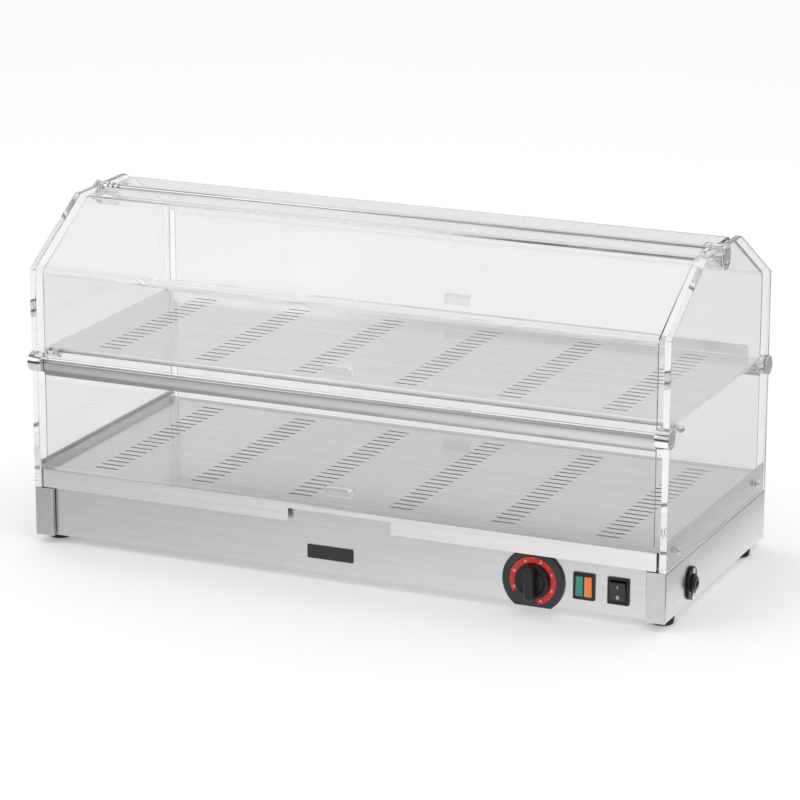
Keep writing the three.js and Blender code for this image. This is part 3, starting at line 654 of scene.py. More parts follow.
def mix_lens(name):
    """A coloured lamp lens with fine moulded ribs."""
    colour = getattr(bpy.context.scene.case_controls, LENSES[name])
    recipe = Recipe(name)
    ribs = recipe.add("ShaderNodeTexWave", wave_type="BANDS", bands_direction="Z")
    recipe.link(recipe.place(), ribs.inputs["Vector"])
    ribs.inputs["Scale"].default_value = 160.0
    recipe.tinted(ribs.outputs["Fac"], shade(colour, 0.85), shade(colour, 1.1), 0.1, 0.9)
    recipe.set(Roughness=0.18, Coat_Weight=0.4, Subsurface_Weight=0.15, Subsurface_Radius=[0.002] * 3)
    recipe.bumped(ribs.outputs["Fac"], 0.0001, 0.4)
    return recipe.material


MIXERS = {CHROME: mix_chrome, SHEATH: mix_sheath, ACRYLIC: mix_acrylic, **dict.fromkeys(BRUSHED, mix_brushed),
          **dict.fromkeys(MOULDED, mix_moulded), **dict.fromkeys(LENSES, mix_lens)}
FINISHES = {}


def finish(name):
    """The named finish, mixed the first time that it is asked for."""
    if name not in FINISHES:
        FINISHES[name] = MIXERS[name](name)
    return FINISHES[name]


# ---------------------------------------------------------------- sizes and colours a user would change

LENGTH = {"unit": "LENGTH", "subtype": "DISTANCE"}
COLOUR = {"subtype": "COLOR", "size": 3, "min": 0, "max": 1}


class CaseSheetSizes(bpy.types.PropertyGroup):
    """Folded and punched sheet metal."""

    bend: FloatProperty(name="Bend radius", description="Outside radius of a folded edge",
                        default=0.0016, **LENGTH)
    inner_bend: FloatProperty(name="Inner bend radius", description="Inside radius of an edge folded upward",
                              default=0.0007, **LENGTH)
    sheet: FloatProperty(name="Base sheet", description="Thickness of the base sides",
                         default=0.0015, **LENGTH)
    deck_sheet: FloatProperty(name="Deck sheet", description="Thickness of the deck and shelf",
                              default=0.0012, **LENGTH)
    rim: FloatProperty(name="Deburred edge", description="Radius of a cut edge", default=0.0002, **LENGTH)
    slot_length: FloatProperty(name="Slot length", description="Length of a vent slot, tip to tip",
                               default=0.030, **LENGTH)
    slot_width: FloatProperty(name="Slot width", description="Width of a vent slot", default=0.003, **LENGTH)
    slot_pitch: FloatProperty(name="Slot pitch", description="Distance between slots in a row",
                              default=0.015, **LENGTH)
    row_pitch: FloatProperty(name="Row pitch", description="Distance between rows of slots",
                             default=0.1293, **LENGTH)
    rows: IntProperty(name="Rows", description="Rows of slots along the case", default=6)
    deck_slots: IntProperty(name="Deck slots", description="Slots in each row of the deck", default=20)
    shelf_slots: IntProperty(name="Shelf slots", description="Slots in each row of the shelf", default=18)
    deck_edge: FloatProperty(name="Deck side edge", description="Height of the deck's upturned ends",
                             default=0.0055, **LENGTH)
    shelf_rise: FloatProperty(name="Shelf upstand", description="Height of the shelf's rear upstand",
                              default=0.0135, **LENGTH)
    notch_width: FloatProperty(name="Notch width", description="Width of the finger notch in the deck's lip",
                               default=0.132, **LENGTH)
    notch_height: FloatProperty(name="Notch height", description="Height of the finger notch",
                                default=0.0157, **LENGTH)


class CaseAcrylic(bpy.types.PropertyGroup):
    """Clear sheet of the hood and flaps."""

    shoulder: FloatProperty(name="Shoulder drop", description="Height from the hood's top to its shoulder",
                            default=0.068, **LENGTH)
    flat_top: FloatProperty(name="Flat top", description="Depth of the hood's level top",
                            default=0.120, **LENGTH)
    corner: FloatProperty(name="Corner radius", description="Radius of the hood side's four upper corners",
                          default=0.006, **LENGTH)
    bend: FloatProperty(name="Flap bend", description="Outside radius of the heat-bent corners of a flap",
                        default=0.011, **LENGTH)
    polish: FloatProperty(name="Polished edge", description="Radius of the flame-polished edges",
                          default=0.0006, **LENGTH)
    tint: FloatVectorProperty(name="Tint", description="Colour of the clear sheet",
                              **COLOUR, default=(0.90, 0.90, 0.90))
    shadow_tint: FloatVectorProperty(name="Shadow tint", description="Light let through each face",
                                     **COLOUR, default=(0.97, 0.97, 0.97))
    index: FloatProperty(name="Refractive index", description="Refractive index of the sheet", default=1.49)
    haze: FloatProperty(name="Haze", description="Roughness where the sheet is most handled", default=0.03)


class CaseMetal(bpy.types.PropertyGroup):
    """Colours and gloss of the metal."""

    steel_colour: FloatVectorProperty(name="Base steel", description="Colour of the base's stainless steel",
                                      **COLOUR, default=(0.60, 0.60, 0.60))
    # The deck and shelf colours are raised above the base steel's as painted light, the shelf's more than the
    # deck's.
    deck_colour: FloatVectorProperty(name="Deck steel", description="Colour of the deck",
                                     **COLOUR, default=(0.69, 0.69, 0.69))
    shelf_colour: FloatVectorProperty(name="Shelf steel", description="Colour of the shelf",
                                      **COLOUR, default=(0.84, 0.84, 0.84))
    chrome_colour: FloatVectorProperty(name="Chrome", description="Colour of the plated fittings",
                                       **COLOUR, default=(0.80, 0.81, 0.82))
    steel_roughness: FloatProperty(name="Steel roughness", description="Roughness of the brushed base",
                                   default=0.30)
    deck_roughness: FloatProperty(name="Deck roughness", description="Roughness of the deck and shelf",
                                  default=0.16)
    deck_cut_roughness: FloatProperty(name="Deck cut roughness", description="Roughness in the deck's slots",
                                      default=0.55)
    shelf_cut_roughness: FloatProperty(name="Shelf cut roughness", description="Roughness in its slots",
                                       default=0.45)


class CaseControls(bpy.types.PropertyGroup):
    """Dial, lamps, switch, feet and marks."""

    rubber_colour: FloatVectorProperty(name="Foot rubber", description="Colour of the feet",
                                       **COLOUR, default=(0.012, 0.012, 0.012))
    ceramic_colour: FloatVectorProperty(name="Ceramic", description="Colour of terminals and thermostat body",
                                        **COLOUR, default=(0.62, 0.58, 0.5))
    mark_colour: FloatVectorProperty(name="Marks", description="Colour of the printed marks and numbers",
                                     **COLOUR, default=(0.8, 0.8, 0.8))
    black_colour: FloatVectorProperty(name="Black plastic", description="Colour of knob, frames and gland",
                                      **COLOUR, default=(0.012, 0.012, 0.012))
    dial_colour: FloatVectorProperty(name="Scale red", description="Colour of the printed scale ring",
                                     **COLOUR, default=(0.60, 0.025, 0.02))
    green_colour: FloatVectorProperty(name="Green lens", description="Colour of the left lamp",
                                      **COLOUR, default=(0.01, 0.21, 0.16))
    amber_colour: FloatVectorProperty(name="Amber lens", description="Colour of the right lamp",
                                      **COLOUR, default=(0.80, 0.19, 0.01))
    ring_inner: FloatProperty(name="Scale inner radius", description="Inner radius of the red scale",
                              default=0.0218, **LENGTH)
    ring_outer: FloatProperty(name="Scale outer radius", description="Outer radius of the red scale",
                              default=0.0285, **LENGTH)
    grip_width: FloatProperty(name="Grip width", description="Width of the knob's finger grip",
                              default=0.013, **LENGTH)


class CaseStage(bpy.types.PropertyGroup):
    """Floor, light and camera."""

    floor_colour: FloatVectorProperty(name="Floor", description="Colour of the plain floor",
                                      **COLOUR, default=(0.88, 0.88, 0.88))
    azimuth: FloatProperty(name="Azimuth", description="Camera angle round the case, in degrees",
                           default=23.80)
    elevation: FloatProperty(name="Elevation", description="Camera angle above level, in degrees",
                             default=15.963)
    roll: FloatProperty(name="Roll", description="Camera roll, in degrees", default=0.149)
    distance: FloatProperty(name="Distance", description="Camera distance from its target",
                            default=4.3818, **LENGTH)
    lens: FloatProperty(name="Lens", description="Focal length in millimetres", default=164.18)
    target: FloatVectorProperty(name="Target", description="Point that the camera looks at", size=3,
                                default=(-0.000136, 0.0, 0.18061), unit="LENGTH", subtype="TRANSLATION")
    room_light: FloatProperty(name="Room light", description="Strength of the light from all round",
                              default=0.95)
    key_light: FloatProperty(name="Key light", description="Power of the overhead softbox, in watts",
                             default=14.0)
    floor_glow: FloatProperty(name="Floor glow", description="Light that the floor gives off itself",
                              default=0.12)
    sweep_left: FloatProperty(name="Sweep left", description="Mirrored floor light at the case's left",
                              default=0.66)
    sweep_right: FloatProperty(name="Sweep right", description="Mirrored floor light at the case's right",
                               default=1.28)
    side_fall: FloatProperty(name="Side fall", description="Share of it left beyond the case's right end",
                             default=0.34)
    sweep_dark: FloatProperty(name="Sweep end", description="Mirrored floor light in front of the sweep",
                              default=0.15)


SETTINGS = (
    ("case_sheet", CaseSheetSizes), ("case_acrylic", CaseAcrylic), ("case_metal", CaseMetal),
    ("case_controls", CaseControls), ("case_stage", CaseStage),
)


# ---------------------------------------------------------------- sheet metal

KEEN = 4                # a punched plate's edges are rounded this many times less than others
SCREW_HOLE = 0.0028     # radius of a hole for a pin or screw


def folded_plate(u_path, v_path, u_flat, v_flat, outer, holes, thickness, rim, turn):
    """A plate with tabs folded on all sides; u and v are true positions on its flat middle."""
    u_part, v_part = u_path.parts[u_flat], v_path.parts[v_flat]
    u_shift, v_shift = u_part[0] - u_part[2].x, v_part[0] - v_part[2].x
    u_low, u_high = u_part[2].x, u_part[2].x + u_part[1]

    def place(u, v, depth):
        if u_low - SAME_POINT <= u <= u_high + SAME_POINT:
            across, height = v_path.at(v + v_shift, depth)
            return turn(u, across, height)
        across, height = u_path.at(u + u_shift, depth)
        return turn(across, v, height)

    folds = ([f - u_shift for f in u_path.folds], [f - v_shift for f in v_path.folds])
    return sheet_solid(outer, holes, thickness, place, rim, 2, folds,
                       lambda u, v: u_path.curved(u + u_shift) or v_path.curved(v + v_shift))


def flat_limits(path, index):
    part = path.parts[index]
    shift = part[0] - part[2].x
    return part[2].x, part[2].x + part[1], -shift, path.length - shift


def slot_holes(per_row, sizes):
    holes = []
    for row in range(sizes.rows):
        x = (row - (sizes.rows - 1) / 2) * sizes.row_pitch
        for index in range(per_row):
            y = (index - (per_row - 1) / 2) * sizes.slot_pitch
            holes.append(stadium(x, y, sizes.slot_length / 2, sizes.slot_width / 2, False, 5))
    return holes


def paint_slot_shade(piece, top, per_row, cut, sizes):
    """Paints the cut walls of the slots dark: painted shade inside the slots."""
    mesh = piece.data
    # cut is the finish that paints shade on the slot walls.
    mesh.materials.append(finish(cut))
    reach = (sizes.rows - 1) / 2 * sizes.row_pitch + sizes.slot_length / 2 + sizes.slot_width
    side = per_row * sizes.slot_pitch / 2
    for face in mesh.polygons:
        across, along_y, height = face.center
        within = abs(across) < reach and abs(along_y) < side
        if within and sizes.rim < top - height < sizes.deck_sheet - sizes.rim:
            face.material_index = 1


class CASE_OT_deck(bpy.types.Operator):
    """Heated deck: punched plate with folded lips, a finger notch and upturned ends"""

    bl_idname = "display_case.deck"
    bl_label = "Heated deck"

    notch_corner = 0.001

    def execute(self, context):
        sizes = context.scene.case_sheet
        low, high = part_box("heated_deck")
        top = high.z - sizes.deck_edge
        wall = high.x - sizes.deck_sheet
        v_path = BendPath([(low.y, low.z), (low.y, top), (high.y, top), (high.y, low.z)], [sizes.bend] * 2)
        u_path = BendPath([(-wall, high.z), (-wall, top), (wall, top), (wall, high.z)],
                          [sizes.inner_bend] * 2)
        u0, u1, u_start, u_end = flat_limits(u_path, 2)
        v0, v1, v_start, v_end = flat_limits(v_path, 2)
        half, rise = sizes.notch_width / 2, v_start + sizes.notch_height
        outer = rounded([
            (u0, v_start), (-half, v_start), (-half, rise, self.notch_corner),
            (half, rise, self.notch_corner), (half, v_start), (u1, v_start), (u1, v0), (u_end, v0),
            (u_end, v1), (u1, v1), (u1, v_end), (u0, v_end), (u0, v1), (u_start, v1), (u_start, v0),
            (u0, v0)])
        bm = folded_plate(u_path, v_path, 2, 2, outer, slot_holes(sizes.deck_slots, sizes),
                          sizes.deck_sheet, sizes.rim / KEEN, lambda u, v, height: Vector((u, v, height)))
        # The deck's colour is raised as painted light.
        plate = add_piece("heated_deck_plate", bm, LIGHTENED_DECK_STEEL, CASE, ["heated_deck"])
        # Painted shade on the walls of the deck's slots.
        paint_slot_shade(plate, top, sizes.deck_slots, DECK_SLOT_SHADE, sizes)
        return {"FINISHED"}


class CASE_OT_shelf(bpy.types.Operator):
    """Display shelf: punched plate with a front edge, short ends and a rear upstand"""

    bl_idname = "display_case.shelf"
    bl_label = "Display shelf"

    upstand_inset, upstand_corner = 0.015, 0.003

    def execute(self, context):
        sizes = context.scene.case_sheet
        low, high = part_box("display_shelf")
        top = high.z - sizes.shelf_rise
        side_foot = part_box("shelf_pin_front_left")[1].z + GAP
        rear = high.y - sizes.deck_sheet
        v_path = BendPath([(low.y, low.z), (low.y, top), (rear, top), (rear, high.z)],
                          [sizes.bend, sizes.inner_bend])
        u_path = BendPath([(low.x, side_foot), (low.x, top), (high.x, top), (high.x, side_foot)],
                          [sizes.bend] * 2)
        u0, u1, u_start, u_end = flat_limits(u_path, 2)
        v0, v1, v_start, v_end = flat_limits(v_path, 2)
        left, right = low.x + self.upstand_inset, high.x - self.upstand_inset
        outer = rounded([(u0, v_start), (u1, v_start), (u1, v0), (u_end, v0), (u_end, v1), (right, v1),
                         (right, v_end, self.upstand_corner), (left, v_end, self.upstand_corner), (left, v1),
                         (u_start, v1), (u_start, v0), (u0, v0)])
        bm = folded_plate(u_path, v_path, 2, 2, outer, slot_holes(sizes.shelf_slots, sizes),
                          sizes.deck_sheet, sizes.rim / KEEN, lambda u, v, height: Vector((u, v, height)))
        # The shelf's colour is raised further as painted light.
        plate = add_piece("display_shelf_plate", bm, LIGHTENED_SHELF_STEEL, CASE,
                          ["display_shelf"])
        # Lighter painted shade on the walls of the shelf's slots.
        paint_slot_shade(plate, top, sizes.shelf_slots, SHELF_SLOT_SHADE, sizes)
        return {"FINISHED"}


class CASE_OT_base(bpy.types.Operator):
    """Base: two folded sides with their ledges and corner flanges, front and rear panels, and floor plate"""

    bl_idname = "display_case.base"
    bl_label = "Base"

    flange, flange_return, bottom_fold = 0.024, 0.006, 0.010
    relief = 0.0006         # width of the slit between two folds at a corner
    gland_hole = 0.0088
    panel_edge = 0.0003

    def side(self, context, end_name, end):
        sizes = context.scene.case_sheet
        low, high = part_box(f"base_side_{end_name}")
        hood_low, hood_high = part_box(f"hood_side_{end_name}")
        wall = max(abs(low.x), abs(high.x))
        ledge = hood_low.z - GAP
        upstand = min(abs(hood_low.x), abs(hood_high.x)) - GAP
        inner = wall - self.flange
        back, front = high.y - self.flange_return, low.y + self.flange_return
        u_path = BendPath([(front, inner), (low.y, inner), (low.y, wall), (high.y, wall),
                           (high.y, inner), (back, inner)], [sizes.bend + sizes.rim] * 4)
        v_path = BendPath([(low.z, wall - self.bottom_fold), (low.z, wall), (ledge, wall),
                           (ledge, upstand), (high.z, upstand)],
                          [sizes.bend + sizes.rim] * 2 + [sizes.inner_bend])
        u0, u1, u_start, u_end = flat_limits(u_path, 4)
        v0, v1, v_start, v_end = flat_limits(v_path, 2)
        slit = self.relief
        outer = rounded([
            (u0, v_start), (u1, v_start), (u1, v0), (u1 + slit, v0), (u1 + slit, low.z), (u_end, low.z),
            (u_end, ledge), (u1 + slit, ledge), (u1 + slit, v1), (u1, v1), (u1, v_end), (u0, v_end),
            (u0, v1), (u0 - slit, v1), (u0 - slit, ledge), (u_start, ledge), (u_start, low.z),
            (u0 - slit, low.z), (u0 - slit, v0), (u0, v0)])
        screw = middle(f"hood_screw_front_{end_name}")
        screw_v = v_end - (high.z - screw.z)
        holes = [circle(face * abs(screw.y), screw_v, SCREW_HOLE, 20) for _, face in FACES]
        if end > 0:
            gland = middle("cord_gland")
            holes.append(circle(gland.y, gland.z, self.gland_hole, 32))
        bm = folded_plate(u_path, v_path, 4, 2, outer, holes, sizes.sheet, 0.0,
                          lambda u, v, height: Vector((end * height, u, v)))
        # The folded side takes the base steel painted darker, as painted shade.
        add_piece(f"base_side_{end_name}_folded", bm, SHADED_SIDE_STEEL, CASE,
                  [f"base_side_{end_name}"])

    def execute(self, context):
        for end_name, end in ENDS:
            self.side(context, end_name, end)
        for node in ("front_panel", "rear_panel", "base_plate"):
            add_piece(f"{node}_sheet", softened(node, self.panel_edge), STEEL, CASE, [node])
        return {"FINISHED"}


# ---------------------------------------------------------------- clear sheet

class CASE_OT_hood_sides(bpy.types.Operator):
    """Hood sides: clear ends with polished edges, an open slot for the rod clamp and drilled holes"""

    bl_idname = "display_case.hood_sides"
    bl_label = "Hood sides"

    foot_corner, slot_half, slot_corner = 0.001, 0.0053, 0.0008

    def execute(self, context):
        clear = context.scene.case_acrylic
        slot = self.slot_half
        slot_end = slot * 0.999     # the slot's end is all but a half circle
        slot_foot = middle("tie_rod").z - slot
        for end_name, _ in ENDS:
            node = f"hood_side_{end_name}"
            low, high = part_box(node)
            shoulder, half_top = high.z - clear.shoulder, clear.flat_top / 2
            outline = rounded([
                (low.y, low.z, self.foot_corner), (high.y, low.z, self.foot_corner),
                (high.y, shoulder, clear.corner), (half_top, high.z, clear.corner),
                (slot, high.z, self.slot_corner), (slot, slot_foot, slot_end), (-slot, slot_foot, slot_end),
                (-slot, high.z, self.slot_corner), (-half_top, high.z, clear.corner),
                (low.y, shoulder, clear.corner)], 8)
            fasteners = [middle(f"{kind}_{face_name}_{end_name}")
                         for kind in ("shelf_pin", "hood_screw") for face_name, _ in FACES]
            holes = [circle(centre.y, centre.z, SCREW_HOLE, 28) for centre in fasteners]
            bm = prism("x", (low.x, high.x), outline, holes, clear.polish, 3)
            add_piece(f"{node}_sheet", bm, ACRYLIC, CASE, [node])
        return {"FINISHED"}


LIP_SHEET, LIP_BEND, LIP_POLISH = 0.0032, 0.0046, 0.0009
LIP_PAD_CORNER, LIP_LEDGE_CORNER = 0.002, 0.005


def finger_lip(surface, face, node):
    """A bent clear strip: a pad on the flap and a ledge out from its top."""
    low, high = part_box(node)
    path = BendPath([(GAP, low.z), (GAP, high.z), (GAP + abs(high.y - low.y), high.z)], [LIP_BEND], 8)
    half = (high.x - low.x) / 2
    outer = rounded([(-half, 0, LIP_PAD_CORNER), (half, 0, LIP_PAD_CORNER),
                     (half, path.length, LIP_LEDGE_CORNER), (-half, path.length, LIP_LEDGE_CORNER)], 6)

    def place(u, v, depth):
        across, height = path.at(v, depth)
        return Vector((u, surface + face * across, height))

    return sheet_solid(outer, [], LIP_SHEET, place, LIP_POLISH, 3, ((), path.folds),
                       lambda u, v: path.curved(v))


class CASE_OT_upper_flaps(bpy.types.Operator):
    """Upper flaps: heat-bent clear sheets that hang from the top rod, each with a finger lip"""

    bl_idname = "display_case.upper_flaps"
    bl_label = "Upper flaps"

    sheet, foot_corner = 0.004, 0.002

    def execute(self, context):
        for face_name, face in FACES:
            self.flap(context, face_name, face)
        return {"FINISHED"}

    def flap(self, context, face_name, face):
        clear = context.scene.case_acrylic
        hood_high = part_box("hood_side_left")[1]
        body = node = f"upper_flap_{face_name}"
        low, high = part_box(node)
        drop = hood_high.z - high.z
        outer_y, rod_edge = max(abs(low.y), abs(high.y)), min(abs(low.y), abs(high.y))
        tilt = math.atan2(clear.shoulder, hood_high.y - clear.flat_top / 2)
        top = (clear.flat_top / 2 - drop * math.tan(tilt / 2), high.z)
        shoulder = (outer_y, hood_high.z - clear.shoulder - drop * math.tan((math.pi / 2 - tilt) / 2))
        path = BendPath([(rod_edge, high.z), top, shoulder, (outer_y, low.z)], [clear.bend] * 2, 10)
        outline = self.outline(face_name, face, low, high, rod_edge, path.length)
        corners = [(u, v, self.foot_corner if v == path.length else 0.0) for u, v in outline]

        def place(u, v, depth):
            across, height = path.at(v, depth)
            return Vector((u, face * across, height))

        bm = sheet_solid(rounded(corners), [], self.sheet, place, clear.polish, 3, ((), path.folds),
                         lambda u, v: path.curved(v))
        add_piece(f"{node}_sheet", bm, ACRYLIC, body, [node])
        lip = f"upper_handle_{face_name}"
        add_piece(f"{lip}_lip", finger_lip(face * outer_y, face, lip), ACRYLIC, body, [lip])

    def outline(self, face_name, face, low, high, rod_edge, length):
        """The flat sheet, cut back round its knuckles; the front one is also cut back beyond them."""
        spans = []
        for end_name, _ in ENDS:
            a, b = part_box(f"flap_knuckle_{face_name}_{end_name}")
            spans.append((a.x - GAP, b.x + GAP))
            reach = max(abs(a.y), abs(b.y)) + GAP - rod_edge
        (l0, l1), (r0, r1) = spans
        bottom = [(high.x, length), (low.x, length)]
        between = [(l1, reach), (l1, 0), (r0, 0), (r0, reach)]
        if face < 0:
            return between + [(high.x, reach)] + bottom + [(low.x, reach)]
        return [(low.x, 0), (l0, 0), (l0, reach)] + between + [(r1, reach), (r1, 0), (high.x, 0)] + bottom


class CASE_OT_lower_flaps(bpy.types.Operator):
    """Lower flaps: flat clear sheets under rolled hinge strips, each with a finger lip"""

    bl_idname = "display_case.lower_flaps"
    bl_label = "Lower flaps"

    corner = 0.002
    leaf, strip_bore, strip_edge = 0.0012, 0.0023, 0.0003

    def execute(self, context):
        clear = context.scene.case_acrylic
        for face_name, face in FACES:
            body = node = f"lower_flap_{face_name}"
            low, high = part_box(node)
            outline = rectangle(low.x, high.x, low.z, high.z, self.corner)
            bm = prism("y", (low.y, high.y), outline, (), clear.polish, 3)
            add_piece(f"{node}_sheet", bm, ACRYLIC, body, [node])
            surface = face * max(abs(low.y), abs(high.y))
            lip = f"lower_handle_{face_name}"
            add_piece(f"{lip}_lip", finger_lip(surface, face, lip), ACRYLIC, body, [lip])
            self.strip(face_name, face, body)
        return {"FINISHED"}

    def strip(self, face_name, face, body):
        """The metal strip that hangs a flap: rolled round the rod, with a leaf down the flap's face."""
        node = f"hinge_strip_{face_name}"
        low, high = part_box(node)
        rod = middle(f"mid_rod_{face_name}")
        y, z = abs(rod.y), rod.z
        outer_y = max(abs(low.y), abs(high.y))
        radius, edge = outer_y - y, outer_y - self.leaf
        meet = 360 - math.degrees(math.acos((edge - y) / radius))
        outline = [Vector((outer_y, low.z))] + arc((y, z), radius, 0, meet, 40) + [Vector((edge, low.z))]
        outline = [Vector((face * p.x, p.y)) for p in outline]
        bore = circle(face * y, z, self.strip_bore, 24)
        bm = prism("x", (low.x, high.x), outline, [bore], self.strip_edge)
        add_piece(f"{node}_rolled", bm, STEEL, body, [node])


# ---------------------------------------------------------------- rods and fittings

class CASE_OT_rods(bpy.types.Operator):
    """Rods: four chromed bars, the clamps that hold them and the knuckles that turn on the top one"""

    bl_idname = "display_case.rods"
    bl_label = "Rods and clamps"

    plate, plate_edge, plate_half_height = 0.0025, 0.0009, 0.0155
    sleeve, boss, collar = 0.0033, 0.005, 0.008
    small_round, wide_round = 0.0003, 0.0006
    tip_length, sleeve_inset, collar_length = 0.005, 0.0017, 0.0137
    knuckle_bore, knuckle_arm, knuckle_edge = 0.0033, 0.004, 0.0005

    def execute(self, context):
        for node in ("top_rod", "tie_rod", "mid_rod_front", "mid_rod_rear"):
            low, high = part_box(node)
            centre, radius = middle(node), (high.z - low.z) / 2
            corners = [(low.x, 0), (low.x, radius, radius / 4), (high.x, radius, radius / 4), (high.x, 0)]
            add_piece(f"{node}_bar", turned(corners, (centre.y, centre.z), 40), CHROME, CASE, [node])
        for end_name, end in ENDS:
            self.clamp(end_name, end)
            for face_name, face in FACES:
                self.barrel(end_name, end, face_name, face)
                self.knuckle(end_name, face_name, face)
        return {"FINISHED"}

    def clamp(self, end_name, end):
        """A saddle plate outside the hood side, and a boss for each rod through it, each with its screw."""
        node = f"top_clamp_{end_name}"
        low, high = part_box(node)
        outer, radius = max(abs(low.x), abs(high.x)), (high.y - low.y) / 2
        shape = stadium(0, high.z - self.plate_half_height, self.plate_half_height, radius, True, 18)
        bm = prism("x", (end * (outer - self.plate), end * outer), shape, (), self.plate_edge, 4)
        add_piece(f"{node}_plate", bm, CHROME, CASE, [node])
        seat = outer - self.plate - 0.00005     # just clear of the plate's inner face
        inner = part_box("hood_side_right")[0].x - GAP
        top_tip, tie_tip = inner - self.sleeve_inset, inner - self.collar_length
        shoulder, collar_end = top_tip - self.tip_length, tie_tip - self.tip_length
        bosses = {
            "top": [(seat, 0), (seat, self.boss), (shoulder, self.boss, self.wide_round),
                    (shoulder, self.sleeve, self.small_round), (top_tip, self.sleeve), (top_tip, 0)],
            "tie": [(seat, 0), (seat, self.boss), (inner, self.boss), (inner, self.collar, self.wide_round),
                    (collar_end, self.collar, 0.001), (collar_end, 0.0028, self.small_round),
                    (tie_tip, 0.0028), (tie_tip, 0)],
        }
        for name, corners in bosses.items():
            centre = (0, middle(f"{name}_rod").z)
            add_piece(f"{node}_{name}_boss", turned(corners, centre, 40, end), CHROME, CASE)
            screw = cross_head(end * outer, end, centre, 0.0042, 0.0016)
            add_piece(f"{node}_{name}_screw", screw, CHROME, CASE)

    def barrel(self, end_name, end, face_name, face):
        """A barrel that holds the end of a mid rod, slit where it grips the hood side's edge."""
        node = f"rod_barrel_{face_name}_{end_name}"
        low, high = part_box(node)
        near, far = sorted((abs(low.x), abs(high.x)))
        rod, radius = middle(f"mid_rod_{face_name}"), (high.z - low.z) / 2
        axis = (rod.y, rod.z)
        dish = far - 0.0005     # the outer end is slightly dished
        corners = [(near, 0), (near, radius, 0.001), (far, radius, 0.0007), (far, 0.0075, self.small_round),
                   (dish, 0.0068, self.small_round), (dish, 0)]
        body = turned(corners, axis, 64, end)
        hood_low, hood_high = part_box(f"hood_side_{end_name}")
        slit = rectangle(*sorted((0, face * (hood_high.y + GAP))), rod.z - 0.03, rod.z + 0.03)
        grip = prism("x", (hood_low.x - GAP, hood_high.x + GAP), slit)
        mouth, bottom, bore = near - 0.001, near + 0.005, 0.0023
        socket = turned([(mouth, 0), (mouth, bore), (bottom, bore), (bottom, 0)], axis, 24, end)
        bm = carved(body, grip, socket)
        widest_facet = 3e-5     # square metres; larger faces are the flat cuts
        for f in bm.faces:
            turned_face = abs(f.normal.x) < 0.99 and abs(f.normal.z) + abs(f.normal.y) > 0.2
            f.smooth = turned_face and f.calc_area() < widest_facet
        add_piece(f"{node}_turned", bm, CHROME, CASE, [node])

    def knuckle(self, end_name, face_name, face):
        """A ring that turns on the top rod, with an arm that holds the upper flap's edge."""
        node = f"flap_knuckle_{face_name}_{end_name}"
        low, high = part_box(node)
        z = middle("top_rod").z
        radius, reach, arm = high.z - z, max(abs(low.y), abs(high.y)), self.knuckle_arm
        meet = 360 - math.degrees(math.asin(arm / radius))
        outline = (rounded([(reach, z - arm, 0.001), (reach, z, 0.001), (radius, z)], 3)[:-1]
                   + arc((0, z), radius, 0, meet, 36))
        outline = [Vector((face * p.x, p.y)) for p in outline]
        bm = prism("x", (low.x, high.x), outline, [circle(0, z, self.knuckle_bore, 28)],
                   self.knuckle_edge, 3)
        add_piece(f"{node}_ring", bm, CHROME, f"upper_flap_{face_name}", [node])


def cross_head(start, side, centre, radius, height, depth=0.0011):
    """A pan head with a cross recess, standing out along x from start towards side."""
    corners = [(0.0, 0.0), (0.0, radius), (height * 0.55, radius, 0.0005),
               (height, radius * 0.62, 0.001), (height, 0.0)]
    profile = [(start + side * place, reach) for place, reach in rounded(corners, 3)]
    head = lathe("x", centre, profile, 32)
    limits = start + side * (height - depth), start + side * (height + 0.001)
    arm, wide = radius * 0.55, radius * 0.13
    u, v = centre
    bars = [rectangle(u - arm, u + arm, v - wide, v + wide), rectangle(u - wide, u + wide, v - arm, v + arm)]
    return carved(head, *[prism("x", limits, bar) for bar in bars])


class CASE_OT_fasteners(bpy.types.Operator):
    """Fasteners: shelf pins and hood screws with domed heads and cross recesses"""

    bl_idname = "display_case.fasteners"
    bl_label = "Pins and screws"

    shank, head, pin_head_height, screw_head_height = 0.0025, 0.0045, 0.0042, 0.003
    nut_start, nut_end = 0.001, 0.004       # counted from the screw's tip
    edge = 0.0004

    def execute(self, context):
        for end_name, end in ENDS:
            hood_low, hood_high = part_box(f"hood_side_{end_name}")
            inner, outer = sorted((abs(hood_low.x), abs(hood_high.x)))
            outer += GAP
            root = outer - 0.0001       # just clear of the head
            for face_name, _ in FACES:
                self.shelf_pin(f"shelf_pin_{face_name}_{end_name}", end, inner - GAP, outer, root)
                self.hood_screw(f"hood_screw_{face_name}_{end_name}", end, outer, root)
        return {"FINISHED"}

    def shelf_pin(self, node, end, inner, outer, root):
        low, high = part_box(node)
        tip, radius = min(abs(low.x), abs(high.x)), (high.z - low.z) / 2
        corners = [(tip, 0), (tip, radius, 0.0012), (inner, radius, self.edge), (inner, self.shank),
                   (root, self.shank), (root, 0)]
        centre = (middle(node).y, middle(node).z)
        add_piece(f"{node}_turned", turned(corners, centre, 40, end), CHROME, CASE, [node])
        add_piece(f"{node}_head", cross_head(end * outer, end, centre, self.head, self.pin_head_height),
                  CHROME, CASE)

    def hood_screw(self, node, end, outer, root):
        low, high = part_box(node)
        tip = min(abs(low.x), abs(high.x))
        near, far = tip + self.nut_start, tip + self.nut_end
        corners = [(tip, 0), (tip, self.shank, 0.0005), (near, self.shank), (near, self.head, self.edge),
                   (far, self.head, self.edge), (far, self.shank), (root, self.shank), (root, 0)]
        centre = (middle(node).y, middle(node).z)
        add_piece(f"{node}_shank", turned(corners, centre, 32, end), CHROME, CASE, [node])
        add_piece(f"{node}_head", cross_head(end * outer, end, centre, self.head, self.screw_head_height),
                  CHROME, CASE)


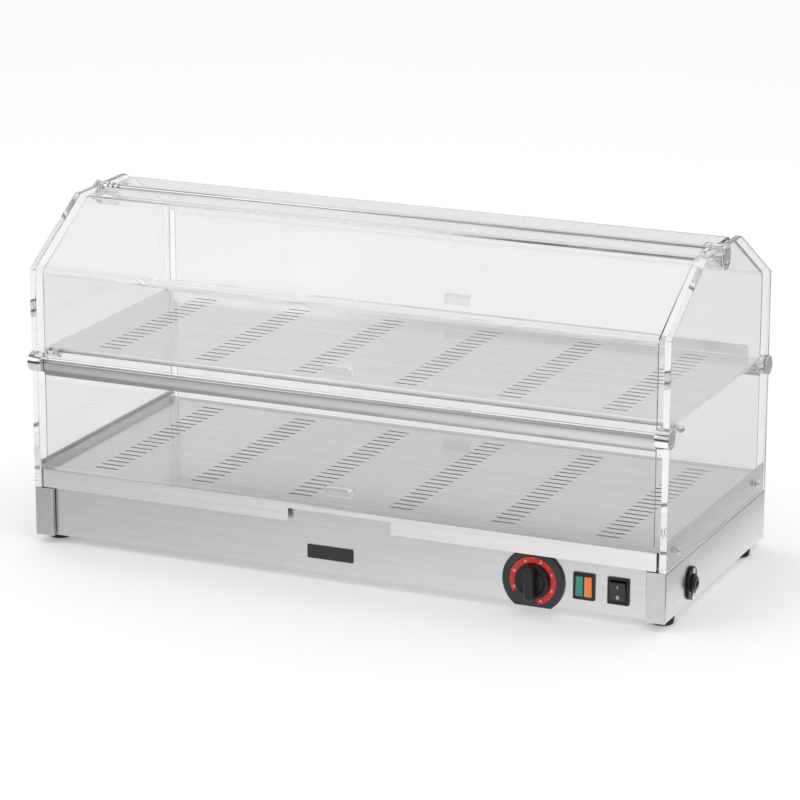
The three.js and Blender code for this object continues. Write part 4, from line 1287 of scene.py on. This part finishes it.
class CASE_OT_feet(bpy.types.Operator):
    """Feet: tapered rubber feet with a recess under each"""

    bl_idname = "display_case.feet"
    bl_label = "Feet"

    recess, recess_top, recess_foot = 0.004, 0.0042, 0.005
    taper = 0.0015

    def execute(self, context):
        for end_name, _ in ENDS:
            for face_name, _ in FACES:
                node = f"foot_{face_name}_{end_name}"
                low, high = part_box(node)
                centre, radius = middle(node), (high.x - low.x) / 2
                ceiling = low.z + self.recess
                corners = [(ceiling, 0), (ceiling, self.recess_top), (low.z, self.recess_foot, 0.0004),
                           (low.z, radius - self.taper, 0.0012), (high.z, radius, 0.0006), (high.z, 0)]
                foot = turned(corners, (centre.x, centre.y), 48, axis="z")
                add_piece(f"{node}_rubber", foot, RUBBER, CASE, [node])
        return {"FINISHED"}


# ---------------------------------------------------------------- controls

class CASE_OT_dial(bpy.types.Operator):
    """Thermostat dial: truncated bezel, red scale ring with marks and numbers, and the turning knob"""

    bl_idname = "display_case.dial"
    bl_label = "Thermostat dial"

    first_mark, last_mark = 202.0, -66.0        # angles in degrees, from the right
    scale_start, scale_end = 212.0, -78.0
    steps, lowest, step_value = 12, 30, 5       # divisions, first number and what each division adds
    shaft_hole, bezel_edge = 0.0046, 0.0008
    tick_half_width, long_tick, short_tick, tick_inset = 0.00022, 0.0014, 0.0009, 0.0002
    number_size, number_inset = 0.0032, 0.0006
    ring_gap, print_height = 0.00005, 0.0001

    def execute(self, context):
        controls = context.scene.case_controls
        low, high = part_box("thermostat_bezel")
        centre, radius = middle("thermostat_bezel"), (high.x - low.x) / 2
        x, z, front = centre.x, centre.z, low.y
        cut = math.degrees(math.asin((high.z - low.z) / 2 / radius))
        outline = arc((x, z), radius, -cut, cut, 28) + arc((x, z), radius, 180 - cut, 180 + cut, 28)
        bm = prism("y", (low.y, high.y), outline, [circle(x, z, self.shaft_hole, 28)], self.bezel_edge, 4)
        add_piece("thermostat_bezel_plate", bm, GLOSS_BLACK, CASE, ["thermostat_bezel"])
        ring = (arc((x, z), controls.ring_outer, self.scale_start, self.scale_end, 72)
                + arc((x, z), controls.ring_inner, self.scale_end, self.scale_start, 60))
        bm = prism("y", (front - 0.00025, front - self.ring_gap), ring)
        add_piece("thermostat_scale_ring", bm, RED, CASE)
        self.marks(x, z, front - GAP, controls)
        self.numbers(x, z, front - GAP, controls)
        self.knob(controls)
        return {"FINISHED"}

    def angle(self, step):
        return math.radians(self.first_mark + (self.last_mark - self.first_mark) * step / self.steps)

    def marks(self, x, z, front, controls):
        """A tick for each division, longer at each one that has a number."""
        bm = bmesh.new()
        for step in range(self.steps + 1):
            angle = self.angle(step)
            out = Vector((math.cos(angle), math.sin(angle)))
            side = Vector((-out.y, out.x)) * self.tick_half_width
            start = out * (controls.ring_outer - (self.short_tick if step % 2 else self.long_tick))
            end = out * (controls.ring_outer - self.tick_inset)
            bar = [Vector((x, z)) + p for p in (start - side, end - side, end + side, start + side)]
            tick = prism("y", (front, front - self.print_height), bar)
            mesh = bpy.data.meshes.new("tick")
            tick.to_mesh(mesh)
            tick.free()
            bm.from_mesh(mesh)
            bpy.data.meshes.remove(mesh)
        add_piece("thermostat_scale_marks", bm, WHITE, CASE)

    def numbers(self, x, z, front, controls):
        bm = bmesh.new()
        reach = (controls.ring_inner + controls.ring_outer) / 2 - self.number_inset
        for step in range(0, self.steps + 1, 2):
            angle = self.angle(step)
            words = bpy.data.curves.new("number", "FONT")
            words.body, words.size = str(self.lowest + self.step_value * step), self.number_size
            words.extrude = self.print_height / 2
            words.align_x, words.align_y = "CENTER", "CENTER"
            shown = bpy.data.objects.new("number", words)
            bpy.context.scene.collection.objects.link(shown)
            spin = Matrix.Rotation(angle - math.pi / 2, 4, "Z")
            stand = Matrix.Rotation(math.pi / 2, 4, "X")
            place = Matrix.Translation((x + reach * math.cos(angle), front, z + reach * math.sin(angle)))
            bpy.context.view_layer.update()
            evaluated = shown.evaluated_get(bpy.context.evaluated_depsgraph_get())
            mesh = bpy.data.meshes.new_from_object(evaluated)
            mesh.transform(place @ stand @ spin)
            bm.from_mesh(mesh)
            bpy.data.objects.remove(shown)
            bpy.data.curves.remove(words)
            bpy.data.meshes.remove(mesh)
        bmesh.ops.remove_doubles(bm, verts=bm.verts, dist=2e-6)
        add_piece("thermostat_scale_numbers", bm, WHITE, CASE)

    def knob(self, controls):
        """The knob's skirt, dished between its rim and its grip, and the grip with its rolled front edge."""
        low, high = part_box("thermostat_knob")
        centre, radius = middle("thermostat_knob"), (high.x - low.x) / 2
        x, z = centre.x, centre.z
        bore, skirt = 0.0043, high.y - 0.005
        hub = skirt + 0.0003
        corners = [(high.y, bore), (high.y, radius, 0.0006), (skirt - 0.0005, radius - 0.0006, 0.0016),
                   (skirt - 0.0012, radius - 0.004, 0.001), (hub, radius - 0.007), (hub, bore)]
        bm = turned(corners, (x, z), 72, axis="y", steps=4)
        add_piece("thermostat_knob_skirt", bm, BLACK, KNOB, ["thermostat_knob"])
        half, length = controls.grip_width / 2, radius - 0.0004
        back, front = skirt + 0.0002, low.y
        draft, roll, steps = 0.0006, 0.0034, 8
        turns = [math.pi / 2 * k / steps for k in range(steps + 1)]
        shapes = [(back, 0.0), ((back + front) / 2, draft)]
        shapes += [(front + roll * (1 - math.sin(a)), draft + roll * (1 - math.cos(a))) for a in turns]
        bm = bmesh.new()
        rings = [[[(p, bm.verts.new((p.x, y, p.y)))
                   for p in stadium(x, z, length - inset, half - inset, True, 14)]] for y, inset in shapes]
        skin(bm, rings, True)
        for ring in (rings[0], rings[-1]):
            bm.faces.new([vert for _, vert in ring[0]])
        bmesh.ops.recalc_face_normals(bm, faces=bm.faces)
        add_piece("thermostat_knob_grip", bm, BLACK, KNOB)


class CASE_OT_panel_controls(bpy.types.Operator):
    """Lamps, rocker switch and the blank plate beside the finger notch"""

    bl_idname = "display_case.panel_controls"
    bl_label = "Lamps, switch and plate"

    body_width, body_height, plate = 0.022, 0.028, 0.002
    lamp_depth, rocker_depth, rocker_room = 0.0028, 0.0095, 0.0009
    frame_corner, lens_corner, lens_edge = 0.0012, 0.0008, 0.0006
    rocker_half, rocker_tip, rocker_dip = 0.012, 0.0036, 0.0021     # half height; how far its face stands out
    mark_height = 0.00012

    def execute(self, context):
        lenses = (("lamp_lens_green", GREEN), ("lamp_lens_amber", AMBER))
        self.snap_frame("lamp_frame", [self.window(node, GAP) for node, _ in lenses], self.lamp_depth)
        for node, look in lenses:
            self.slab(f"{node}_cap", node, look, self.lens_corner, 4, self.lens_edge, 4)
        self.snap_frame("rocker_frame", [self.window("rocker_button", self.rocker_room)], self.rocker_depth)
        self.rocker()
        self.slab("name_plate_blank", "name_plate", GLOSS_BLACK, self.frame_corner, 5, 0.0003, 3)
        return {"FINISHED"}

    def slab(self, name, node, look, corner, corner_steps, edge, edge_steps):
        low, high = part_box(node)
        outline = rectangle(low.x, high.x, low.z, high.z, corner, corner_steps)
        add_piece(name, prism("y", (low.y, high.y), outline, (), edge, edge_steps), look, CASE, [node])

    def window(self, node, room):
        """The opening in a frame for a node, with room above and below it."""
        low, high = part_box(node)
        return low.x - GAP, high.x + GAP, low.z - room, high.z + room

    def snap_frame(self, node, windows, depth):
        """A snap-in frame in front of the panel, and its hollow body behind."""
        low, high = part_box(node)
        x, z, front = (low.x + high.x) / 2, (low.z + high.z) / 2, low.y
        holes = [rectangle(*window, 0.0006, 3) for window in windows]
        outline = rectangle(low.x, high.x, low.z, high.z, self.frame_corner, 4)
        bm = prism("y", (front, front + self.plate), outline, holes, 0.0003, 3)
        add_piece(f"{node}_plate", bm, BLACK, CASE, [node])
        half_w, half_h = self.body_width / 2, self.body_height / 2
        body = prism("y", (front + self.plate + 0.00005, high.y),
                     rectangle(x - half_w, x + half_w, z - half_h, z + half_h, 0.001, 3), (), 0.0004)
        pockets = [prism("y", (front, front + depth), rectangle(*window)) for window in windows]
        add_piece(f"{node}_body", carved(body, *pockets), BLACK, CASE)

    def rocker(self):
        """The rocker, built level about its pivot and then tipped to one side, with its two marks."""
        joint = next(j for j in frame["joints"] if j["child"] == ROCKER)
        pivot, tilt = Vector(joint["pos_m"]), math.radians(joint["range_deg"][1] / 2)
        low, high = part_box("rocker_button")
        half, width, back = self.rocker_half, high.x - low.x, 0.0012
        outline = rounded([(-self.rocker_tip, half, 0.0009), (-self.rocker_dip, 0, 0.02),
                           (-self.rocker_tip, -half, 0.0009), (back, -half), (0.0032, 0), (back, half)], 8)
        turn = Matrix.Translation(pivot) @ Matrix.Rotation(tilt, 4, "X")
        bm = sheet_solid(outline, [], width, lambda u, v, depth: turn @ Vector((depth - width / 2, u, v)),
                         0.0005, 3)
        for face in bm.faces:
            face.smooth = face.smooth or abs(face.normal.x) < 0.5
        add_piece("rocker_button_cap", bm, GLOSS_BLACK, ROCKER, ["rocker_button"])
        self.mark(turn, circle(0, 0, 0.0019, 28), [circle(0, 0, 0.0013, 28)], -0.0066, "rocker_mark_off")
        self.mark(turn, rectangle(-0.0003, 0.0003, -0.0019, 0.0019), [], 0.0062, "rocker_mark_on")

    def mark(self, turn, outer, holes, middle_z, name):
        """A printed mark that lies on the sloping half of the rocker."""
        side = 1 if middle_z > 0 else -1
        rise = self.rocker_tip - self.rocker_dip
        lean = math.atan2(rise, self.rocker_half)
        face_y = -self.rocker_dip - rise * abs(middle_z) / self.rocker_half - self.mark_height
        lie = turn @ Matrix.Translation((0, face_y, middle_z)) @ Matrix.Rotation(side * lean, 4, "X")
        bm = sheet_solid(outer, holes, self.mark_height, lambda u, v, depth: lie @ Vector((u, -depth, v)))
        add_piece(name, bm, WHITE, ROCKER)


class CASE_OT_gland(bpy.types.Operator):
    """Cord gland: oval flange with two screws, a stepped boss and its neck through the side"""

    bl_idname = "display_case.gland"
    bl_label = "Cord gland"

    def execute(self, context):
        low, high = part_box("cord_gland")
        y, z = middle("cord_gland").y, middle("cord_gland").z
        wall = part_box("base_side_right")[1].x + GAP
        flange, bore, neck, shoulder, boss = 0.003, 0.0042, 0.0085, 0.0098, 0.0105
        flange_hole, soft, screw_reach = 0.01, 0.0003, 0.0149
        width, height = (high.y - low.y) / 2, (high.z - low.z) / 2
        bm = prism("x", (wall, wall + flange), stadium(y, z, height, width, True, 20),
                   [circle(y, z, flange_hole, 32)], 0.0007, 4)
        add_piece("cord_gland_flange", bm, BLACK, CASE, ["cord_gland"])
        tip, inside_wall, step = high.x, wall - 0.0001, wall + flange + 0.0006
        nose = tip - 0.0022
        corners = [(low.x, bore), (low.x, neck, 0.0004), (inside_wall, neck), (inside_wall, shoulder, soft),
                   (step, shoulder, soft), (step, boss, soft), (nose, boss, 0.0006), (nose, 0.0088, 0.0004),
                   (tip, 0.0074, 0.0012), (tip, bore)]
        add_piece("cord_gland_boss", turned(corners, (y, z), 56), BLACK, CASE)
        for side, name in ((1, "upper"), (-1, "lower")):
            centre = (y, z + side * screw_reach)
            head = cross_head(wall + flange, 1, centre, 0.0034, 0.0019, 0.0009)
            add_piece(f"cord_gland_screw_{name}", head, CHROME, CASE)
        return {"FINISHED"}


class CASE_OT_inside(bpy.types.Operator):
    """Parts inside the base: element, its brackets, terminals, thermostat body and bulb"""

    bl_idname = "display_case.inside"
    bl_label = "Heating and wiring"

    def execute(self, context):
        mesh = frame["nodes"]["heating_element"].data
        mesh.materials.clear()
        mesh.materials.append(finish(SHEATH))
        for end_name, _ in ENDS:
            node = f"element_bracket_{end_name}"
            add_piece(f"{node}_sheet", softened(node, 0.0002), STEEL, CASE, [node])
        for node in ("terminal_block", "thermostat"):
            add_piece(f"{node}_moulded", softened(node, 0.0006), CERAMIC, CASE, [node])
        add_piece("thermostat_bulb_capped", softened("thermostat_bulb", 0.0004), CHROME, CASE,
                  ["thermostat_bulb"])
        return {"FINISHED"}


# ---------------------------------------------------------------- floor, light and camera

def softbox(name, place, aim, size, power):
    light = bpy.data.lights.new(name, "AREA")
    light.shape, light.size, light.size_y = "RECTANGLE", size[0], size[1]
    light.energy = power
    made = bpy.data.objects.new(name, light)
    made.location = place
    made.rotation_mode = "QUATERNION"
    made.rotation_quaternion = (Vector(aim) - Vector(place)).to_track_quat("-Z", "Y")
    bpy.context.scene.collection.objects.link(made)


class CASE_OT_stage(bpy.types.Operator):
    """Stage: pale floor, soft light and the camera"""

    bl_idname = "display_case.stage"
    bl_label = "Floor, light and camera"

    floor_half, floor_cells = 9.0, 24
    # where the mirrored sweep fades, in metres: across the case, in front of it and beyond its right end
    sweep_across, sweep_front, sweep_beyond = (-0.75, 0.45), (-1.15, -0.70), (0.44, 0.52)
    # height in the mirrored room, from floor to ceiling, and how bright it is there
    studio_levels = ((0.0, 0.05), (0.10, 0.05), (0.16, 0.9), (0.62, 1.15), (0.70, 0.25), (1.0, 0.45))
    studio_scale = 1.2      # a colour ramp holds no more than one, so its levels are divided by this
    studio_turn = (-0.15, 0.35)
    sensor = 36.0

    def execute(self, context):
        scene, stage = context.scene, context.scene.case_stage
        self.floor(stage)
        self.room(scene, stage)
        softbox("overhead softbox", (0.0, -0.2, 2.6), (0, 0, 0), (3.4, 2.4), stage.key_light)
        softbox("front softbox", (-2.2, -2.6, 1.7), (0, 0, 0.15), (1.6, 1.6), stage.key_light * 0.5)
        self.camera(scene, stage)
        scene.view_settings.view_transform = "Standard"
        scene.cycles.max_bounces = 48
        scene.cycles.transmission_bounces = 32
        scene.cycles.transparent_max_bounces = 24
        scene.cycles.glossy_bounces = 40
        scene.cycles.diffuse_bounces = 4
        return {"FINISHED"}

    def floor(self, stage):
        bm = bmesh.new()
        count, half = self.floor_cells, self.floor_half
        marks = [-half + 2 * half * i / count for i in range(count + 1)]
        grid = [[bm.verts.new((x, y, 0.0)) for x in marks] for y in marks]
        for near, far in zip(grid, grid[1:]):
            for i in range(count):
                bm.faces.new((near[i], near[i + 1], far[i + 1], far[i]))
        mesh = bpy.data.meshes.new("floor")
        bm.to_mesh(mesh)
        bm.free()
        made = bpy.data.objects.new("floor", mesh)
        bpy.context.scene.collection.objects.link(made)
        recipe = Recipe("pale floor")
        cloud = recipe.noise(3.0)
        recipe.tinted(cloud, shade(stage.floor_colour, 0.995), shade(stage.floor_colour, 1.0))
        recipe.set(Roughness=0.7, Specular_IOR_Level=0.2, Emission_Strength=stage.floor_glow,
                   Emission_Color=(1, 1, 1, 1))
        self.reflected_floor(recipe, stage)
        mesh.materials.append(recipe.material)

    def reflected_floor(self, recipe, stage):
        """What the metal mirrors of the floor: a lit sweep that ends in front of the case."""
        place = recipe.axes(recipe.place())
        across = recipe.ranged(place["X"], stage.sweep_left, stage.sweep_right, *self.sweep_across)
        front = recipe.ranged(place["Y"], stage.sweep_dark, 1.0, *self.sweep_front)
        beyond = recipe.ranged(place["X"], 1.0, stage.side_fall, *self.sweep_beyond)
        level = recipe.worked("MULTIPLY", across, recipe.worked("MULTIPLY", front, beyond))
        glow = recipe.add("ShaderNodeEmission")
        recipe.link(level, glow.inputs["Strength"])
        shown = recipe.chosen(recipe.only_mirrored(), recipe.shader.outputs["BSDF"], glow.outputs["Emission"])
        recipe.link(shown, recipe.surface)

    def room(self, scene, stage):
        """An even white room, which metal mirrors as a studio instead."""
        scene.world = bpy.data.worlds.new("studio room")
        scene.world.use_nodes = True
        nodes = Nodes(scene.world.node_tree)
        plain = nodes.tree.nodes["Background"]
        plain.inputs["Color"].default_value = (1, 1, 1, 1)
        plain.inputs["Strength"].default_value = stage.room_light
        mirrored = nodes.add("ShaderNodeBackground")
        nodes.link(self.studio(nodes, stage), mirrored.inputs["Strength"])
        shown = nodes.chosen(nodes.only_mirrored(), plain.outputs["Background"],
                             mirrored.outputs["Background"])
        nodes.link(shown, nodes.tree.nodes["World Output"].inputs["Surface"])

    def studio(self, nodes, stage):
        """What metal mirrors of the room: bright behind the case, a softbox over a dark band in front."""
        place = nodes.axes(nodes.place("Generated"))
        height = nodes.add("ShaderNodeValToRGB")
        ramp = height.color_ramp
        while len(ramp.elements) < len(self.studio_levels):
            ramp.elements.new(0.5)
        for element, (position, level) in zip(ramp.elements, self.studio_levels):
            element.position = position
            element.color = (*[level / self.studio_scale] * 3, 1)
        nodes.link(place["Z"], height.inputs["Fac"])
        behind = nodes.ranged(place["Y"], 0.0, 1.0, *self.studio_turn)
        level = nodes.add("ShaderNodeMix")
        nodes.link(behind, level.inputs["Factor"])
        nodes.link(height.outputs["Color"], level.inputs[2])
        level.inputs[3].default_value = stage.room_light / self.studio_scale
        scaled = nodes.add("ShaderNodeMath", operation="MULTIPLY")
        nodes.link(level.outputs[0], scaled.inputs[0])
        scaled.inputs[1].default_value = self.studio_scale
        return scaled.outputs["Value"]

    def camera(self, scene, stage):
        data = bpy.data.cameras.new("camera")
        data.lens, data.sensor_width = stage.lens, self.sensor
        data.clip_start, data.clip_end = 0.05, 60.0
        azimuth, elevation = math.radians(stage.azimuth), math.radians(stage.elevation)
        back = Vector((math.sin(azimuth) * math.cos(elevation), -math.cos(azimuth) * math.cos(elevation),
                       math.sin(elevation)))
        right = Vector((math.cos(azimuth), math.sin(azimuth), 0))
        up = back.cross(right)
        turn = math.radians(stage.roll)
        cos, sin = math.cos(turn), math.sin(turn)
        right, up = right * cos + up * sin, up * cos - right * sin
        made = bpy.data.objects.new("camera", data)
        turned = Matrix((right, up, back)).transposed().to_4x4()
        made.matrix_world = Matrix.Translation(Vector(stage.target) + back * stage.distance) @ turned
        scene.collection.objects.link(made)
        scene.camera = made


OPERATORS = (
    CASE_OT_base, CASE_OT_deck, CASE_OT_shelf, CASE_OT_hood_sides, CASE_OT_upper_flaps, CASE_OT_lower_flaps,
    CASE_OT_rods, CASE_OT_fasteners, CASE_OT_feet, CASE_OT_dial, CASE_OT_panel_controls, CASE_OT_gland,
    CASE_OT_inside, CASE_OT_stage,
)


class CASE_PT_pieces(bpy.types.Panel):
    """Lists the case's settings and the pieces that can be built"""

    bl_idname = "CASE_PT_pieces"
    bl_label = "Display Case"
    bl_space_type = "VIEW_3D"
    bl_region_type = "UI"
    bl_category = "Display Case"

    def draw(self, context):
        layout = self.layout
        for name, group in SETTINGS:
            box = layout.box()
            box.label(text=group.__doc__)
            for key in group.__annotations__:
                box.prop(getattr(context.scene, name), key)
        for operator in OPERATORS:
            layout.operator(operator.bl_idname)


def register():
    for name, group in SETTINGS:
        bpy.utils.register_class(group)
        setattr(bpy.types.Scene, name, PointerProperty(type=group))
    for operator in OPERATORS:
        bpy.utils.register_class(operator)
    bpy.utils.register_class(CASE_PT_pieces)


def unregister():
    bpy.utils.unregister_class(CASE_PT_pieces)
    for operator in reversed(OPERATORS):
        bpy.utils.unregister_class(operator)
    for name, group in reversed(SETTINGS):
        delattr(bpy.types.Scene, name)
        bpy.utils.unregister_class(group)


def main():
    register()
    for operator in OPERATORS:
        family, name = operator.bl_idname.split(".")
        getattr(getattr(bpy.ops, family), name)()


if __name__ == "__main__":
    main()
